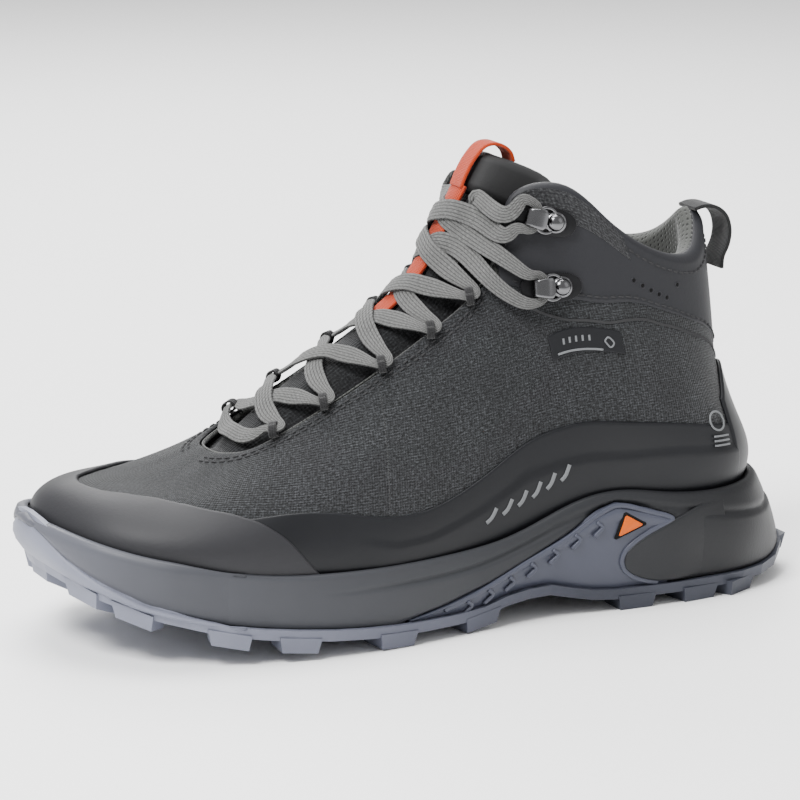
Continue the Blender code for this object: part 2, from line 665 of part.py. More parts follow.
def overlays():
    """Toe cap, side films and heel overlay, on top of the shells."""
    out = LAYER_GAP + OVERLAY_T
    foot = constant(OVERLAY_FOOT)
    panel("toe_cap", -5.6, 5.6, foot, on_seam(TOE_CAP_EDGE), 7, out, OVERLAY_T, CAP)
    panel("side_film_lateral", 4.3, 14.9, film_foot, on_seam(FILM_TOP), 6, out, OVERLAY_T, FILM)
    panel("side_film_medial", STATIONS - 14.9, STATIONS - 4.3, film_foot, on_seam(FILM_TOP), 6, out,
          OVERLAY_T, FILM)
    panel("heel_overlay", 15.0, STATIONS - 15.0, foot, on_seam(HEEL_OVERLAY_TOP), 10, out, OVERLAY_T,
          FILM)


def stiffeners():
    """Toe puff and heel counter, hidden between shell and lining."""
    depth = -(SHELL_T + LAYER_GAP)
    top = constant(STIFFENER_TOP)
    panel("toe_puff", -PUFF_END, PUFF_END, constant(0.06), top, 7, depth, PUFF_T, BOARD)
    panel("heel_counter", COUNTER_START, STATIONS - COUNTER_START, constant(0.06), top, 6, depth, PUFF_T,
          BOARD)


def lining():
    """Knit lining all around, inside shells, puff, counter and foam."""
    panel("lining", 0, STATIONS, constant(LINING_FOOT), constant(0.985), 8, lining_depth, LINING_T,
          LINING)


def collar_foam():
    """Padding between collar panel and lining."""
    start, end = FOAM_START + 0.2, STATIONS - FOAM_START - 0.2
    stations = column_places(start, end)
    rows = 4
    places = []
    for u in stations:
        low = float(seam(COLLAR_SEAM, u)) + 0.1
        places += [(u, low + (0.975 - low) * j / (rows - 1)) for j in range(rows)]
    u, v = np.array(places).T
    outer = upper(u, v, -(SHELL_T + LAYER_GAP))
    inner = upper(u, v, lining_depth(u, v) + LAYER_GAP)
    slab("collar_foam", outer, inner, len(stations), rows, FOAM)


# ---------------------------------------------------------------- tongue

def tongue_point(place, across):
    """Points of the tongue's face: place counts TONGUE_LINE's points, across runs from -1 to 1."""
    line = np.array(TONGUE_LINE) * SCALE[[0, 2]]
    x, z = along(line[:, 0], place), along(line[:, 1], place)
    ahead = along(line[:, 0], place + 0.05) - along(line[:, 0], place - 0.05)
    rise = along(line[:, 1], place + 0.05) - along(line[:, 1], place - 0.05)
    size = np.hypot(ahead, rise)
    half = along(TONGUE_HALF, place) * SCALE[1]
    share = np.minimum(np.abs(across) / TONGUE_SHOULDER, 1) ** 2
    beyond = np.maximum(np.abs(across) - TONGUE_SHOULDER, 0)
    back = along(TONGUE_FALL, place) * share ** 2 * (3 - 2 * share) + half * beyond * 0.35
    drop = along(TONGUE_DROP, place)
    return np.stack([x + rise / size * back, half * across, z - ahead / size * back * drop], axis=1)


def tongue(place, across, out=0.0):
    """Points of the tongue's face moved out along its normal."""
    place, across = np.broadcast_arrays(np.atleast_1d(np.asarray(place, float)), np.asarray(across,
                                        float))
    step = 0.03
    along_it = tongue_point(place + step, across) - tongue_point(place - step, across)
    across_it = tongue_point(place, across + step) - tongue_point(place, across - step)
    normal = np.cross(along_it, across_it)
    normal /= np.linalg.norm(normal, axis=1)[:, None]
    return tongue_point(place, across) + normal * out


def tongue_piece(name, start, end, thickness, count, look):
    places = np.linspace(start, end, count)
    spans = np.linspace(-1, 1, 13)
    grid = [(p, s) for p in places for s in spans]
    place, across = np.array(grid).T
    outer = tongue(place, across)
    inner = tongue(place, across, -thickness)
    return slab(name, outer, inner, count, len(spans), look)


def tongue_pivot():
    """Empty on the crease across the tongue, where its head leans."""
    pivot = bpy.data.objects.new("tongue_pivot", None)
    pivot.location = Vector((TONGUE_CREASE[0] * SCALE[0], 0, TONGUE_CREASE[1] * SCALE[2])) * MM
    BOOT.objects.link(pivot)
    return pivot


def hang(made, pivot):
    """Parent a piece modelled in place to an empty, without moving it."""
    made.parent = pivot
    made.location = -pivot.location


def tongue_parts():
    """The padded tongue up to its crease, and the head above it."""
    last = len(TONGUE_LINE) - 1
    tongue_piece("tongue_base", TONGUE_START, TONGUE_SEAM - 0.05, TONGUE_T, 14, FABRIC)
    head = tongue_piece("tongue_head", TONGUE_SEAM + 0.05, last, TONGUE_T, 5, COLLAR)
    hang(head, tongue_pivot())


# ---------------------------------------------------------------- webbing, loops and hooks

def strip(name, face, thickness, look):
    """A ribbon: face is a list of rows across it, and its thickness goes inward from the face."""
    rows = len(face[0])
    points = np.concatenate([np.asarray(row, float) for row in face])
    made = new_object(name, points, [tuple(reversed(f)) for f in grid_faces(len(face), rows)], look)
    return solidify(made, thickness)


def on_tongue(place, y, out):
    """A point over the tongue's face, and the face's normal there."""
    across = y / (float(along(TONGUE_HALF, place)[0]) * SCALE[1])
    point = tongue(place, across, out)[0]
    return point, (tongue(place, across, out + 1)[0] - point)


def tongue_webbing():
    """Orange tape sewn along the middle of the tongue, under the laces."""
    face = []
    for place in np.linspace(WEBBING_START, TONGUE_SEAM - 0.12, 12):
        row = [on_tongue(place, y, WEBBING_LIFT + WEBBING_T)[0] for y in (WEBBING_W / 2, 0,
               -WEBBING_W / 2)]
        face.append(row)
    strip("tongue_webbing", face, WEBBING_T, ORANGE)


def strap(name, line, y, width, thickness, look):
    """A tape bent along a line in the XZ plane, given as (x, z) points of its outer face."""
    smooth = even_curve([(x, y, z) for x, z in line], 3)
    face = [[point + (0, width * side, 0) for side in (0.5, -0.5)] for point in smooth]
    return strip(name, face, thickness, look)


def even_curve(points, steps):
    """Smooth curve through points of any spacing, with a few steps between each two."""
    points = np.asarray(points, float)
    gaps = np.sqrt(np.linalg.norm(np.diff(points[:, :3], axis=0), axis=1))
    speed = np.diff(points, axis=0) / gaps[:, None]
    slope = np.empty_like(points)
    slope[0], slope[-1] = speed[0], speed[-1]
    before, after = gaps[:-1, None], gaps[1:, None]
    slope[1:-1] = (after * speed[:-1] + before * speed[1:]) / (before + after)
    made = []
    for i, gap in enumerate(gaps):
        for t in np.arange(steps) / steps:
            made.append((1 + 2 * t) * (1 - t) ** 2 * points[i] + t * t * (3 - 2 * t) * points[i + 1]
                        + gap * (t * (1 - t) ** 2 * slope[i] + t * t * (t - 1) * slope[i + 1]))
    made.append(points[-1])
    return np.array(made)


def pull_loops():
    """Pull loops on the tongue and at the heel."""
    tongue_line = [(x * SCALE[0], z * SCALE[2]) for x, z in TONGUE_LOOP_LINE]
    heel_line = [(x * SCALE[0], z * SCALE[2]) for x, z in HEEL_LOOP_LINE]
    loop = strap("tongue_pull_loop", tongue_line, 0, WEBBING_W, WEBBING_T, ORANGE)
    hang(loop, bpy.data.objects["tongue_pivot"])
    strap("heel_pull_loop", heel_line[::-1], -1.5, PULL_LOOP_W, WEBBING_T + 0.2, BLACK_TAPE)


def place_beside(point):
    """The tongue's place and side distance nearest to a point, on that point's side."""
    places = np.repeat(np.linspace(1, TONGUE_SEAM, 120), 30)
    spans = np.tile(np.linspace(0.1, 1, 30), 120) * np.sign(point[1])
    face = tongue(places, spans)
    near = int(np.argmin(np.linalg.norm(face - point, axis=1)))
    return places[near], face[near][1]


def loop_frame(side, station):
    """Centre of a lace loop, the way the lace runs through it and the way out of the upper."""
    edge = upper(side * station, 1.0)[0]
    out = upper(side * station, 1.0, 1)[0] - edge
    inward = edge - upper(side * station, 0.97)[0]
    inward /= np.linalg.norm(inward)
    way = np.cross(inward, out) * -side_sign(side)
    return edge + inward * RING_INSET + out * RING_LIFT, way, out


def loop_places(side):
    """(place, y) on the tongue beside each loop of one side."""
    return [place_beside(upper(side * station, 1.0)[0]) for station in LOOP_STATIONS]


def side_sign(side):
    """The sign of y on a side: the lateral side (1) lies at -Y."""
    return -1 if side > 0 else 1


def lace_loops():
    """Webbing loops at the throat edge that hold the lace."""
    for side, word in ((1, "lateral"), (-1, "medial")):
        for count, station in enumerate(LOOP_STATIONS, 1):
            centre, way, out = loop_frame(side, station)
            mesh = bmesh.new()
            bmesh.ops.create_cone(mesh, cap_ends=False, segments=12, radius1=(RING_R + RING_T) * MM,
                                  radius2=(RING_R + RING_T) * MM, depth=RING_W * MM)
            for corner in mesh.verts:
                corner.co.x *= RING_FLAT
            data = bpy.data.meshes.new(f"lace_loop_{word}_{count}")
            mesh.to_mesh(data)
            mesh.free()
            made = bpy.data.objects.new(data.name, data)
            BOOT.objects.link(made)
            data.materials.append(material(*BLACK_TAPE))
            made.location = Vector(centre) * MM
            turn = Matrix((out, np.cross(way, out), way)).transposed()
            made.rotation_euler = turn.to_euler()
            solidify(made, RING_T)


def hook_frame(side, u, v):
    """Origin on the collar panel and the directions toward the throat, up and out of a hook."""
    base = upper(side * u, v, HOOK_LIFT)[0]
    out = upper(side * u, v, HOOK_LIFT + 1)[0] - base
    front = upper(side * (u - 0.1), v, HOOK_LIFT)[0] - base
    front -= out * (front @ out)
    front /= np.linalg.norm(front)
    up = np.cross(front, out) * side_sign(side)
    if up[2] < 0:
        up = -up
    toward = math.cos(HOOK_TILT) * front + math.sin(HOOK_TILT) * up
    rise = math.cos(HOOK_TILT) * up - math.sin(HOOK_TILT) * front
    return base, toward, rise, out


def hooks():
    """Speed hooks with their rivets, two on each collar panel."""
    for side, word in ((1, "lateral"), (-1, "medial")):
        for count, (u, v) in enumerate(HOOK_PLACES, 1):
            base, toward, rise, out = hook_frame(side, u, v)
            line = even_curve([(a, n, 0) for a, n in HOOK_LINE], 2)[:, :2]
            face = []
            for a, n in line:
                middle = base + toward * a + out * n
                face.append([middle - rise * HOOK_W / 2, middle + rise * HOOK_W / 2])
            if side < 0:
                face = [row[::-1] for row in face]
            strip(f"hook_{word}_{count}", face, HOOK_T, METAL)
            rivet(f"rivet_{word}_{count}", base + toward * RIVET_BACK + out * (HOOK_T + 0.5), out)


def rivet(name, foot, out):
    """Domed rivet head on the hook's plate."""
    mesh = bmesh.new()
    bmesh.ops.create_uvsphere(mesh, u_segments=14, v_segments=8, radius=RIVET_R * MM)
    data = bpy.data.meshes.new(name)
    for corner in mesh.verts:
        corner.co.z *= RIVET_RISE / RIVET_R
    mesh.to_mesh(data)
    mesh.free()
    data.shade_smooth()
    made = bpy.data.objects.new(name, data)
    BOOT.objects.link(made)
    data.materials.append(material(*METAL))
    made.location = Vector(foot + out * RIVET_RISE) * MM
    made.rotation_euler = Vector(out).to_track_quat("Z", "Y").to_euler()


# ---------------------------------------------------------------- lace

def lace_crossing(lower, upper_end, lift):
    """The lace between a loop or hook of one side and the next one of the other side."""
    made = []
    for part in (0.27, 0.5, 0.73):
        place = lower[0] + (upper_end[0] - lower[0]) * part
        y = lower[1] + (upper_end[1] - lower[1]) * part
        rise = lift if part == 0.5 else (lift + LACE_LIFT) / 2
        made.append((*on_tongue(place, y, rise), LACE_W if part == 0.5 else LACE_W * 0.86))
    return made


def through_loop(side, station):
    """The lace's way through one loop, bottom to top."""
    centre, way, out = loop_frame(side, station)
    steps = (-RING_W / 2 - RING_CLEAR, 0, RING_W / 2 + RING_CLEAR)
    return [(centre + way * step, out, LACE_TURN_W) for step in steps]


def over_edge(side, station, lift):
    """A point of the lace where it passes over the throat's edge."""
    point = upper(side * station, 0.985, lift)[0]
    return point, upper(side * station, 0.985, lift + 1)[0] - point, LACE_W * 0.8


def around_hook(side, u, v, edges):
    """The lace's way over the throat's edge, behind a hook's neck and back."""
    base, toward, rise, out = hook_frame(side, u, v)
    made = [over_edge(side, *edges[0])]
    for a, t, n, width in HOOK_TURN:
        made.append((base + toward * a + rise * t + out * n, out, width))
    return made + [over_edge(side, *edges[1])]


def lace_half(side, over):
    """Half of the lace, from the bottom loop of a side up to its tucked end."""
    beside = {1: loop_places(1), -1: loop_places(-1)}
    route = []
    at = side
    lift = LACE_LIFT + (LACE_STEP if over else 0)
    for level, station in enumerate(LOOP_STATIONS):
        route += through_loop(at, station)
        if level + 1 < len(LOOP_STATIONS):
            route += lace_crossing(beside[at][level], beside[-at][level + 1], lift)
            at = -at
    for count, (u, v) in enumerate(HOOK_PLACES):
        before = -at
        place = HOOK_CROSSING[count]
        for share, y in HOOK_APPROACH:
            rise = LACE_LIFT + (lift - LACE_LIFT) * (1 - abs(y) / 18) + 0.25 * max(abs(y) - 9, 0)
            route.append((*on_tongue(place + share, side_sign(at) * y, rise), LACE_W * (1 - abs(y) / 90)))
        route += around_hook(before, u, v, HOOK_EDGES[count])
        at = before
    for place, y, lift in LACE_END:
        route.append((*on_tongue(place, side_sign(at) * y, lift), LACE_W * 0.7))
    return route


def lace():
    """One flat lace: bottom bar, criss-cross through the loops, hooks, and both ends tucked in."""
    first = lace_half(1, True)
    second = lace_half(-1, False)
    place = (loop_places(1)[0][0] + loop_places(-1)[0][0]) / 2
    bar = [(*on_tongue(place - 0.33, y, LACE_LIFT), LACE_W * 0.85) for y in (-9, 0, 9)]
    route = first[::-1] + bar + second
    table = np.array([[*point, *normal, width] for point, normal, width in route])
    smooth = even_curve(table, 2)
    points, normals, widths = smooth[:, :3], smooth[:, 3:6], smooth[:, 6]
    normals /= np.linalg.norm(normals, axis=1)[:, None]
    way = np.gradient(points, axis=0)
    beside = np.cross(normals, way)
    beside /= np.linalg.norm(beside, axis=1)[:, None]
    face = points + normals * LACE_T / 2
    rows = [[f + b * w / 2, f - b * w / 2] for f, b, w in zip(face, beside, widths)]
    strip("lace", rows, LACE_T, LACE)
    return points


shells()
overlays()
stiffeners()
lining()
collar_foam()
tongue_parts()
tongue_webbing()
pull_loops()
lace_loops()
hooks()
lace()
midsole()
outsole()
stabiliser()
badge("badge_lateral", 1)
badge("badge_medial", -1)
plate("lasting_board", SHELL_T + LAYER_GAP, 0.1, BOARD_T, BOARD)
plate("footbed", SHELL_T + PUFF_T + LINING_T + 2 * LAYER_GAP + 0.8, 0.1 + BOARD_T + CLEARANCE,
      FOOTBED_T, FOAM)
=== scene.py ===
"""Looks of a hiking boot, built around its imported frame. Lengths are in millimetres unless said."""
import math

import bpy
import bmesh
import numpy as np
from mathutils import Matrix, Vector


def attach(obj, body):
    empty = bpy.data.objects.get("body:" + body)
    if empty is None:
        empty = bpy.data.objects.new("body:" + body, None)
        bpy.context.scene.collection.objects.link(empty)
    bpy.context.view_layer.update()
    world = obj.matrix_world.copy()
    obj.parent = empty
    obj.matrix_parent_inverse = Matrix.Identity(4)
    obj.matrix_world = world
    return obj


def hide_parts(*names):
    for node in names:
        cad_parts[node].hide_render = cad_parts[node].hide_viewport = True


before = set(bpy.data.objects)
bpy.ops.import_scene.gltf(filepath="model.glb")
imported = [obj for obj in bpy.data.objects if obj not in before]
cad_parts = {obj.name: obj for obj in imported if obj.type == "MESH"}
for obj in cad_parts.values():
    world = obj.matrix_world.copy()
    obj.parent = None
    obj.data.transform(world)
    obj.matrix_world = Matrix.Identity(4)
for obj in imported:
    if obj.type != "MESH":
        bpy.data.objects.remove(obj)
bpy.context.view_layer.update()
MM = 0.001

# ---------------------------------------------------------------- the upper's surface

STATIONS = 34           # stations around the boot, toe centre 0, heel centre 17
HEEL = STATIONS // 2
SIDES = ((1, "lateral"), (-1, "medial"))   # sign of a side's stations, and its name
SHELL_T = 1.8
LAYER_GAP = 0.6
OVERLAY_T = 1.1
LINING_T = 0.9
COLLAR_FOAM_T = 4.5
PUFF_T = 0.9
LUG_DEPTH = 4.5
BOARD_T = 1.8
BOARD_LIFT = 0.1          # the lasting board over the feather line
FOOTBED_T = 4.0
FOOTBED_GAP = 0.8         # between footbed and lining
OUTSOLE_T = 2.4
CLEARANCE = 0.45

# One row per station of the lateral side, toe to heel; six points from feather line to top edge.
LATERAL = [
    [(-138.5, 10, 35), (-143.5, 10, 43.5), (-141.5, 9, 51.5), (-129.5, 7, 56.5), (-107, 4, 58),
     (-85, 1, 67)],
    [(-136, -5.5, 34.5), (-141, -6, 43), (-138.5, -5.5, 51), (-126, -5.5, 56), (-105, -5, 58),
     (-84.5, -4, 67)],
    [(-129.5, -20, 33), (-134.5, -22, 42), (-131, -21, 50), (-119.5, -18, 55), (-102, -13.5, 58.2),
     (-83.5, -8.5, 67.3)],
    [(-117, -32, 30.5), (-121.5, -35, 39.5), (-118.5, -33.5, 47.5), (-108.5, -28, 54),
     (-95, -21, 59.2), (-80, -13.5, 68)],
    [(-99.5, -41, 28), (-102.5, -44.5, 37), (-100, -43, 46), (-93.5, -36.5, 54.5),
     (-84.5, -27.5, 61.5), (-74, -17.5, 70)],
    [(-78, -46, 24.5), (-79.5, -49.5, 34.5), (-78, -48, 46), (-73.5, -41.5, 56.8), (-68, -31.5, 66),
     (-63, -20, 75)],
    [(-55, -47.5, 23), (-56, -50.5, 33.5), (-55, -48.5, 47.5), (-52.5, -42, 61.5), (-49.5, -32, 72.5),
     (-47, -21.5, 83)],
    [(-32, -45.5, 23), (-32.5, -48.5, 35), (-31.5, -46, 51), (-29.5, -40, 67), (-27.5, -32, 81),
     (-26, -22.5, 94.5)],
    [(-9, -41.5, 23.5), (-9.5, -44.5, 37.5), (-9, -42.5, 55), (-8, -37.5, 73), (-7, -31, 90),
     (-5.5, -23, 107)],
    [(12, -37.5, 26), (12, -40.5, 41), (12, -39.5, 61), (12, -36, 82), (11.5, -30.5, 102),
     (11, -23, 119.5)],
    [(30, -35, 29), (30, -38.5, 45), (29, -38, 66.5), (27.5, -35, 90), (24.5, -30, 113.5),
     (20.5, -22, 137)],
    [(47, -34.5, 31.5), (47, -38, 48.5), (46, -38, 71), (42, -35, 96), (35, -30.5, 123),
     (26, -22.5, 153)],
    [(64, -34.5, 32.5), (64, -38, 49.5), (63, -38.5, 71), (59.5, -35.5, 95.5), (53.5, -32.5, 121.5),
     (44.5, -29, 154)],
    [(80, -34.5, 32.5), (80.5, -38, 50), (80, -38, 69), (77, -35, 90.5), (72, -33, 113), (63, -32, 139)],
    [(96, -33, 33), (97.5, -37, 49.5), (96.5, -36, 66.5), (92.5, -33, 85.5), (87.5, -31.5, 105.5),
     (81, -31.5, 128)],
    [(110, -28.5, 33), (113, -31.5, 48.5), (110.5, -29.5, 64.5), (106, -26.5, 82.5),
     (102.5, -25, 102), (98, -24.5, 124)],
    [(120.5, -17.5, 33), (125, -19, 47.5), (120.8, -17.8, 62.5), (114.7, -15.5, 81.5),
     (112, -14.5, 102.5), (108.5, -14, 129)],
    [(125, -3, 33), (130.5, -3, 47), (125, -2.5, 62.5), (118.5, -2, 81), (116.6, -1.5, 103),
     (113, -1, 137)],
]
# At each lateral station: how far the middle line follows the toe's sideways turn, and the medial
# side's width at the feather line as a share of the lateral one.
MIDDLE_SHARE = [1, 0.95, 0.8, 0.6, 0.4, 0.2, 0.08] + [0] * 11
MEDIAL_SHARE = [1, 1, 0.99, 0.97, 0.96, 0.95, 0.92, 0.88, 0.86, 0.85, 0.86, 0.88, 0.9, 0.92, 0.94,
                0.96, 1, 1]

# Seams of the upper, as (station, v) along the lateral side.
TOE_CAP_EDGE = [(0, 0.6), (1, 0.6), (1.6, 0.64), (2.4, 0.66), (3.3, 0.62), (4.2, 0.55), (4.7, 0.48),
                (5.2, 0.36), (5.6, 0.2), (5.9, 0.05)]
VAMP_SEAM = 6.9
COLLAR_SEAM = [(9, 0.99), (9.6, 0.93), (10, 0.86), (11, 0.745), (12, 0.735), (13, 0.79), (14, 0.81),
               (15, 0.78), (16, 0.69), (17, 0.65)]
FILM_TOP = [(4, 0.5), (4.6, 0.52), (5.5, 0.50), (7, 0.34), (7.6, 0.33), (8.6, 0.37), (9.6, 0.42),
            (10.5, 0.41), (12, 0.39), (13.6, 0.39), (15, 0.38)]
HEEL_OVERLAY_TOP = [(15, 0.46), (15.4, 0.57), (15.9, 0.62), (16.4, 0.62), (17, 0.6)]
COLLAR_FRONT = 9.7      # station where the collar panels start
TOE_CAP_END = 5.8       # stations where the overlays start and end
FILM_ENDS = (4.35, 15.15)
OVERLAY_START = 15.0    # heel overlay


def slope_matrix(count, periodic):
    """Matrix that turns the points of a cubic spline, one apart, into its slopes."""
    left = np.zeros((count, count))
    right = np.zeros((count, count))
    for i in range(count):
        before, after = (i - 1) % count, (i + 1) % count
        if not periodic and i in (0, count - 1):
            inner = 1 if i == 0 else count - 2
            sign = 1 if i == 0 else -1
            left[i, i], left[i, inner] = 2, 1
            right[i, inner], right[i, i] = 3 * sign, -3 * sign
        else:
            left[i, before], left[i, i], left[i, after] = 1, 4, 1
            right[i, after], right[i, before] = 3, -3
    return np.linalg.solve(left, right)


def spline_weights(places, count, periodic):
    """Weights of the spline's points at each place, one row per place."""
    slopes = slope_matrix(count, periodic)
    places = np.atleast_1d(np.asarray(places, float))
    if periodic:
        first = np.floor(places).astype(int)
    else:
        first = np.clip(np.floor(places).astype(int), 0, count - 2)
    t = (places - first)[:, None]
    a, b = first % count, (first + 1) % count
    points = np.eye(count)
    return ((1 + 2 * t) * (1 - t) ** 2 * points[a] + t * t * (3 - 2 * t) * points[b]
            + t * (1 - t) ** 2 * slopes[a] + t * t * (t - 1) * slopes[b])


def read_table(points, x):
    """A value given as (x, value) points, read at x."""
    return np.interp(x, *zip(*points))


def along(values, places):
    """Smooth curve through the values, read at places counted in values."""
    return spline_weights(places, len(values), False) @ np.asarray(values, float)


def fold(stations):
    """Stations of the medial side read as the lateral ones they mirror."""
    return np.abs((np.asarray(stations, float) + HEEL) % STATIONS - HEEL)


def both_sides(lateral_values, stations):
    """A value given for stations 0 to 17 of one side, read at any station of either side."""
    return along(lateral_values, fold(stations))


def seam(points, stations):
    """Height v of a seam given as (station, v) pairs for one side, at any station."""
    return read_table(points, fold(stations))


def control_net():
    """All stations of the upper: the lateral rows, and the medial rows mirrored from them."""
    lateral = np.array(LATERAL, float)
    rows = lateral.shape[1]
    net = np.zeros((STATIONS, rows, 3))
    net[:HEEL + 1] = lateral
    height = np.linspace(0, 1, rows)
    for k in range(1, HEEL):
        middle = lateral[0, :, 1] * MIDDLE_SHARE[k] + lateral[HEEL, :, 1] * max(0, k - 12) / 5
        share = 1 + (MEDIAL_SHARE[k] - 1) * (1 - height)
        net[STATIONS - k] = lateral[k]
        net[STATIONS - k, :, 1] = middle + (middle - lateral[k, :, 1]) * share
    return net


NET = control_net()


def unit_rows(vectors):
    """Rows of vectors, each scaled to length one."""
    return vectors / np.linalg.norm(vectors, axis=1)[:, None]


def upper_point(u, v):
    """Points of the upper's outer surface, in millimetres."""
    around = spline_weights(u, STATIONS, True)
    rows = NET.shape[1]
    up = spline_weights(np.asarray(v, float) * (rows - 1), rows, False)
    return np.einsum("ns,nr,src->nc", around, up, NET)


def upper(u, v, out=0.0):
    """Points of the upper, moved out along its normal."""
    u, v = np.broadcast_arrays(np.atleast_1d(np.asarray(u, float)), np.asarray(v, float))
    step = 0.02
    across = upper_point(u + step, v) - upper_point(u - step, v)
    rise = upper_point(u, np.minimum(v + step, 1)) - upper_point(u, np.maximum(v - step, 0))
    normal = unit_rows(np.cross(across, rise))
    return upper_point(u, v) + normal * np.broadcast_to(out, u.shape)[:, None]


def raised(u, v, lift=0.0):
    """Points over the upper by lift, and the way out of it at each."""
    base = upper(u, v, lift)
    return base, upper(u, v, lift + 1) - base


def spot(u, v, lift=0.0):
    """One point over the upper and the way out of it there."""
    base, out = raised(u, v, lift)
    return base[0], out[0]


def span(side, front, back):
    """The stations of one side from front to back, the lower number first."""
    return sorted((side * front, side * back))


def full_turn(count):
    """Angles that divide a full turn."""
    return np.linspace(0, 2 * math.pi, count + 1)[:-1]


def travelled(points, axis=0):
    """Distance travelled along an axis of a grid of points."""
    steps = np.cumsum(np.linalg.norm(np.diff(points, axis=axis), axis=-1), axis=axis)
    return np.concatenate([np.zeros_like(np.take(steps, [0], axis)), steps], axis=axis)


# ---------------------------------------------------------------- materials

def node(tree, kind, inputs=None, **settings):
    """Adds a node; an input's value is a number, a colour or another node's output."""
    made = tree.nodes.new(kind)
    for key, value in settings.items():
        setattr(made, key, value)
    for key, value in (inputs or {}).items():
        if isinstance(value, bpy.types.NodeSocket):
            tree.links.new(value, made.inputs[key])
        else:
            made.inputs[key].default_value = value
    return made


def mix(tree, factor, first, second, blend="MIX"):
    """Mixes two colours or values."""
    made = node(tree, "ShaderNodeMix", {0: factor, 6: first, 7: second}, data_type="RGBA", blend_type=blend)
    return made.outputs[2]


def ramp(tree, value, stops):
    """A colour ramp of (place, grey or colour) stops."""
    made = node(tree, "ShaderNodeValToRGB", {"Fac": value})
    points = made.color_ramp.elements
    while len(points) < len(stops):
        points.new(0.5)
    for point, (place, colour) in zip(points, stops):
        point.position = place
        point.color = (*colour, 1) if isinstance(colour, tuple) else (colour, colour, colour, 1)
    return made.outputs["Color"]


def coordinates(tree, kind, scale=(1, 1, 1)):
    """Surface coordinates in centimetres (uv) or the object's own in metres (object), scaled."""
    if kind == "uv":
        place = node(tree, "ShaderNodeUVMap").outputs["UV"]
    else:
        place = node(tree, "ShaderNodeTexCoord").outputs["Object"]
    return node(tree, "ShaderNodeMapping", {"Vector": place, "Scale": scale}).outputs["Vector"]


def noise(tree, place, scale, detail=2.0, roughness=0.5):
    made = node(tree, "ShaderNodeTexNoise", {"Vector": place, "Scale": scale, "Detail": detail,
                                             "Roughness": roughness})
    return made.outputs["Fac"]


def wave(tree, place, scale, direction="X", distortion=0.0):
    made = node(tree, "ShaderNodeTexWave", {"Vector": place, "Scale": scale, "Distortion": distortion},
                bands_direction=direction)
    return made.outputs["Fac"]


def finish_material(tree, colour, roughness, height=None, depth=0.1, **sockets):
    """Connects colour, roughness and a bump height of depth millimetres to the shader."""
    shader = tree.nodes["Principled BSDF"]
    sockets = {"Specular_IOR_Level": 0.22, **sockets}
    for key, value in (("Base Color", colour), ("Roughness", roughness)):
        if isinstance(value, bpy.types.NodeSocket):
            tree.links.new(value, shader.inputs[key])
        else:
            shader.inputs[key].default_value = (*value, 1) if isinstance(value, tuple) else value
    for key, value in sockets.items():
        shader.inputs[key.replace("_", " ")].default_value = value
    if height is not None:
        relief = node(tree, "ShaderNodeBump", {"Height": height, "Distance": depth * MM, "Strength": 1.0})
        tree.links.new(relief.outputs["Normal"], shader.inputs["Normal"])


def new_material(name):
    made = bpy.data.materials.new(name)
    made.use_nodes = True
    return made, made.node_tree


def melange(name, dark, light, flecks=0.5, rib=3.0):
    """Woven fabric of mixed dark and light yarns."""
    made, tree = new_material(name)
    place = coordinates(tree, "uv", (1.0, 2.6, 1))
    yarn = noise(tree, place, 6.5, 3, 0.7)
    cross = noise(tree, coordinates(tree, "uv", (3.0, 1.0, 1)), 5, 3, 0.65)
    cloud = noise(tree, coordinates(tree, "uv"), 0.7, 2)
    fleck = ramp(tree, yarn, [(0.42, 0.0), (0.5 + 0.1 * (1 - flecks), 0.35), (0.72, 1.0)])
    thin = ramp(tree, cross, [(0.5, 0.0), (0.75, 0.55)])
    colour = mix(tree, fleck, (*dark, 1), (*light, 1))
    colour = mix(tree, thin, colour, (*light, 1))
    colour = mix(tree, ramp(tree, cloud, [(0.3, 0.0), (0.7, 0.3)]), colour, (*dark, 1))
    weave = mix(tree, 0.5, wave(tree, coordinates(tree, "uv"), rib, "X", 0.6),
                wave(tree, coordinates(tree, "uv"), rib, "Y", 0.6))
    colour = mix(tree, ramp(tree, weave, [(0.2, 0.65), (0.6, 0.0)]), colour, (*dark, 1))
    height = mix(tree, 0.35, weave, yarn)
    finish_material(tree, colour, 0.92, height, 0.3, Sheen_Weight=0.15, Specular_IOR_Level=0.2)
    return made


def grained(name, base, roughness, grain=6.0, depth=0.05, variation=0.25, **sockets):
    """Smooth synthetic or moulded skin with a fine grain and slight wear."""
    made, tree = new_material(name)
    place = coordinates(tree, "object")
    fine = noise(tree, place, grain * 160, 4, 0.6)
    broad = noise(tree, place, 18, 3)
    lighter = tuple(min(1, c * (1 + variation)) for c in base)
    colour = mix(tree, broad, (*base, 1), (*lighter, 1))
    rough = ramp(tree, broad, [(0.3, roughness - 0.05), (0.7, roughness + 0.08)])
    finish_material(tree, colour, rough, fine, depth, **sockets)
    return made


def shade_painted_along(name, stops, roughness, low=-0.15, high=0.15, grain=5.0, depth=0.05, **sockets):
    """Moulded skin whose colour runs from toe to heel, as (share, colour) stops: painted light on the toe and
    painted shade towards the heel.
    """
    made, tree = new_material(name)
    place = coordinates(tree, "object")
    along_x = node(tree, "ShaderNodeSeparateXYZ", {0: place}).outputs["X"]
    share = node(tree, "ShaderNodeMapRange", {"Value": along_x, "From Min": low, "From Max": high})
    fine = noise(tree, place, grain * 160, 4, 0.6)
    broad = noise(tree, place, 25, 4)
    # painted light and shade: the ramp along x lightens the toe and darkens the heel
    colour = ramp(tree, share.outputs[0], stops)
    colour = mix(tree, ramp(tree, broad, [(0.35, 0.0), (0.75, 0.22)]), colour, (0.02, 0.02, 0.022, 1))
    rough = ramp(tree, broad, [(0.3, roughness - 0.06), (0.7, roughness + 0.08)])
    finish_material(tree, colour, rough, fine, depth, **sockets)
    return made


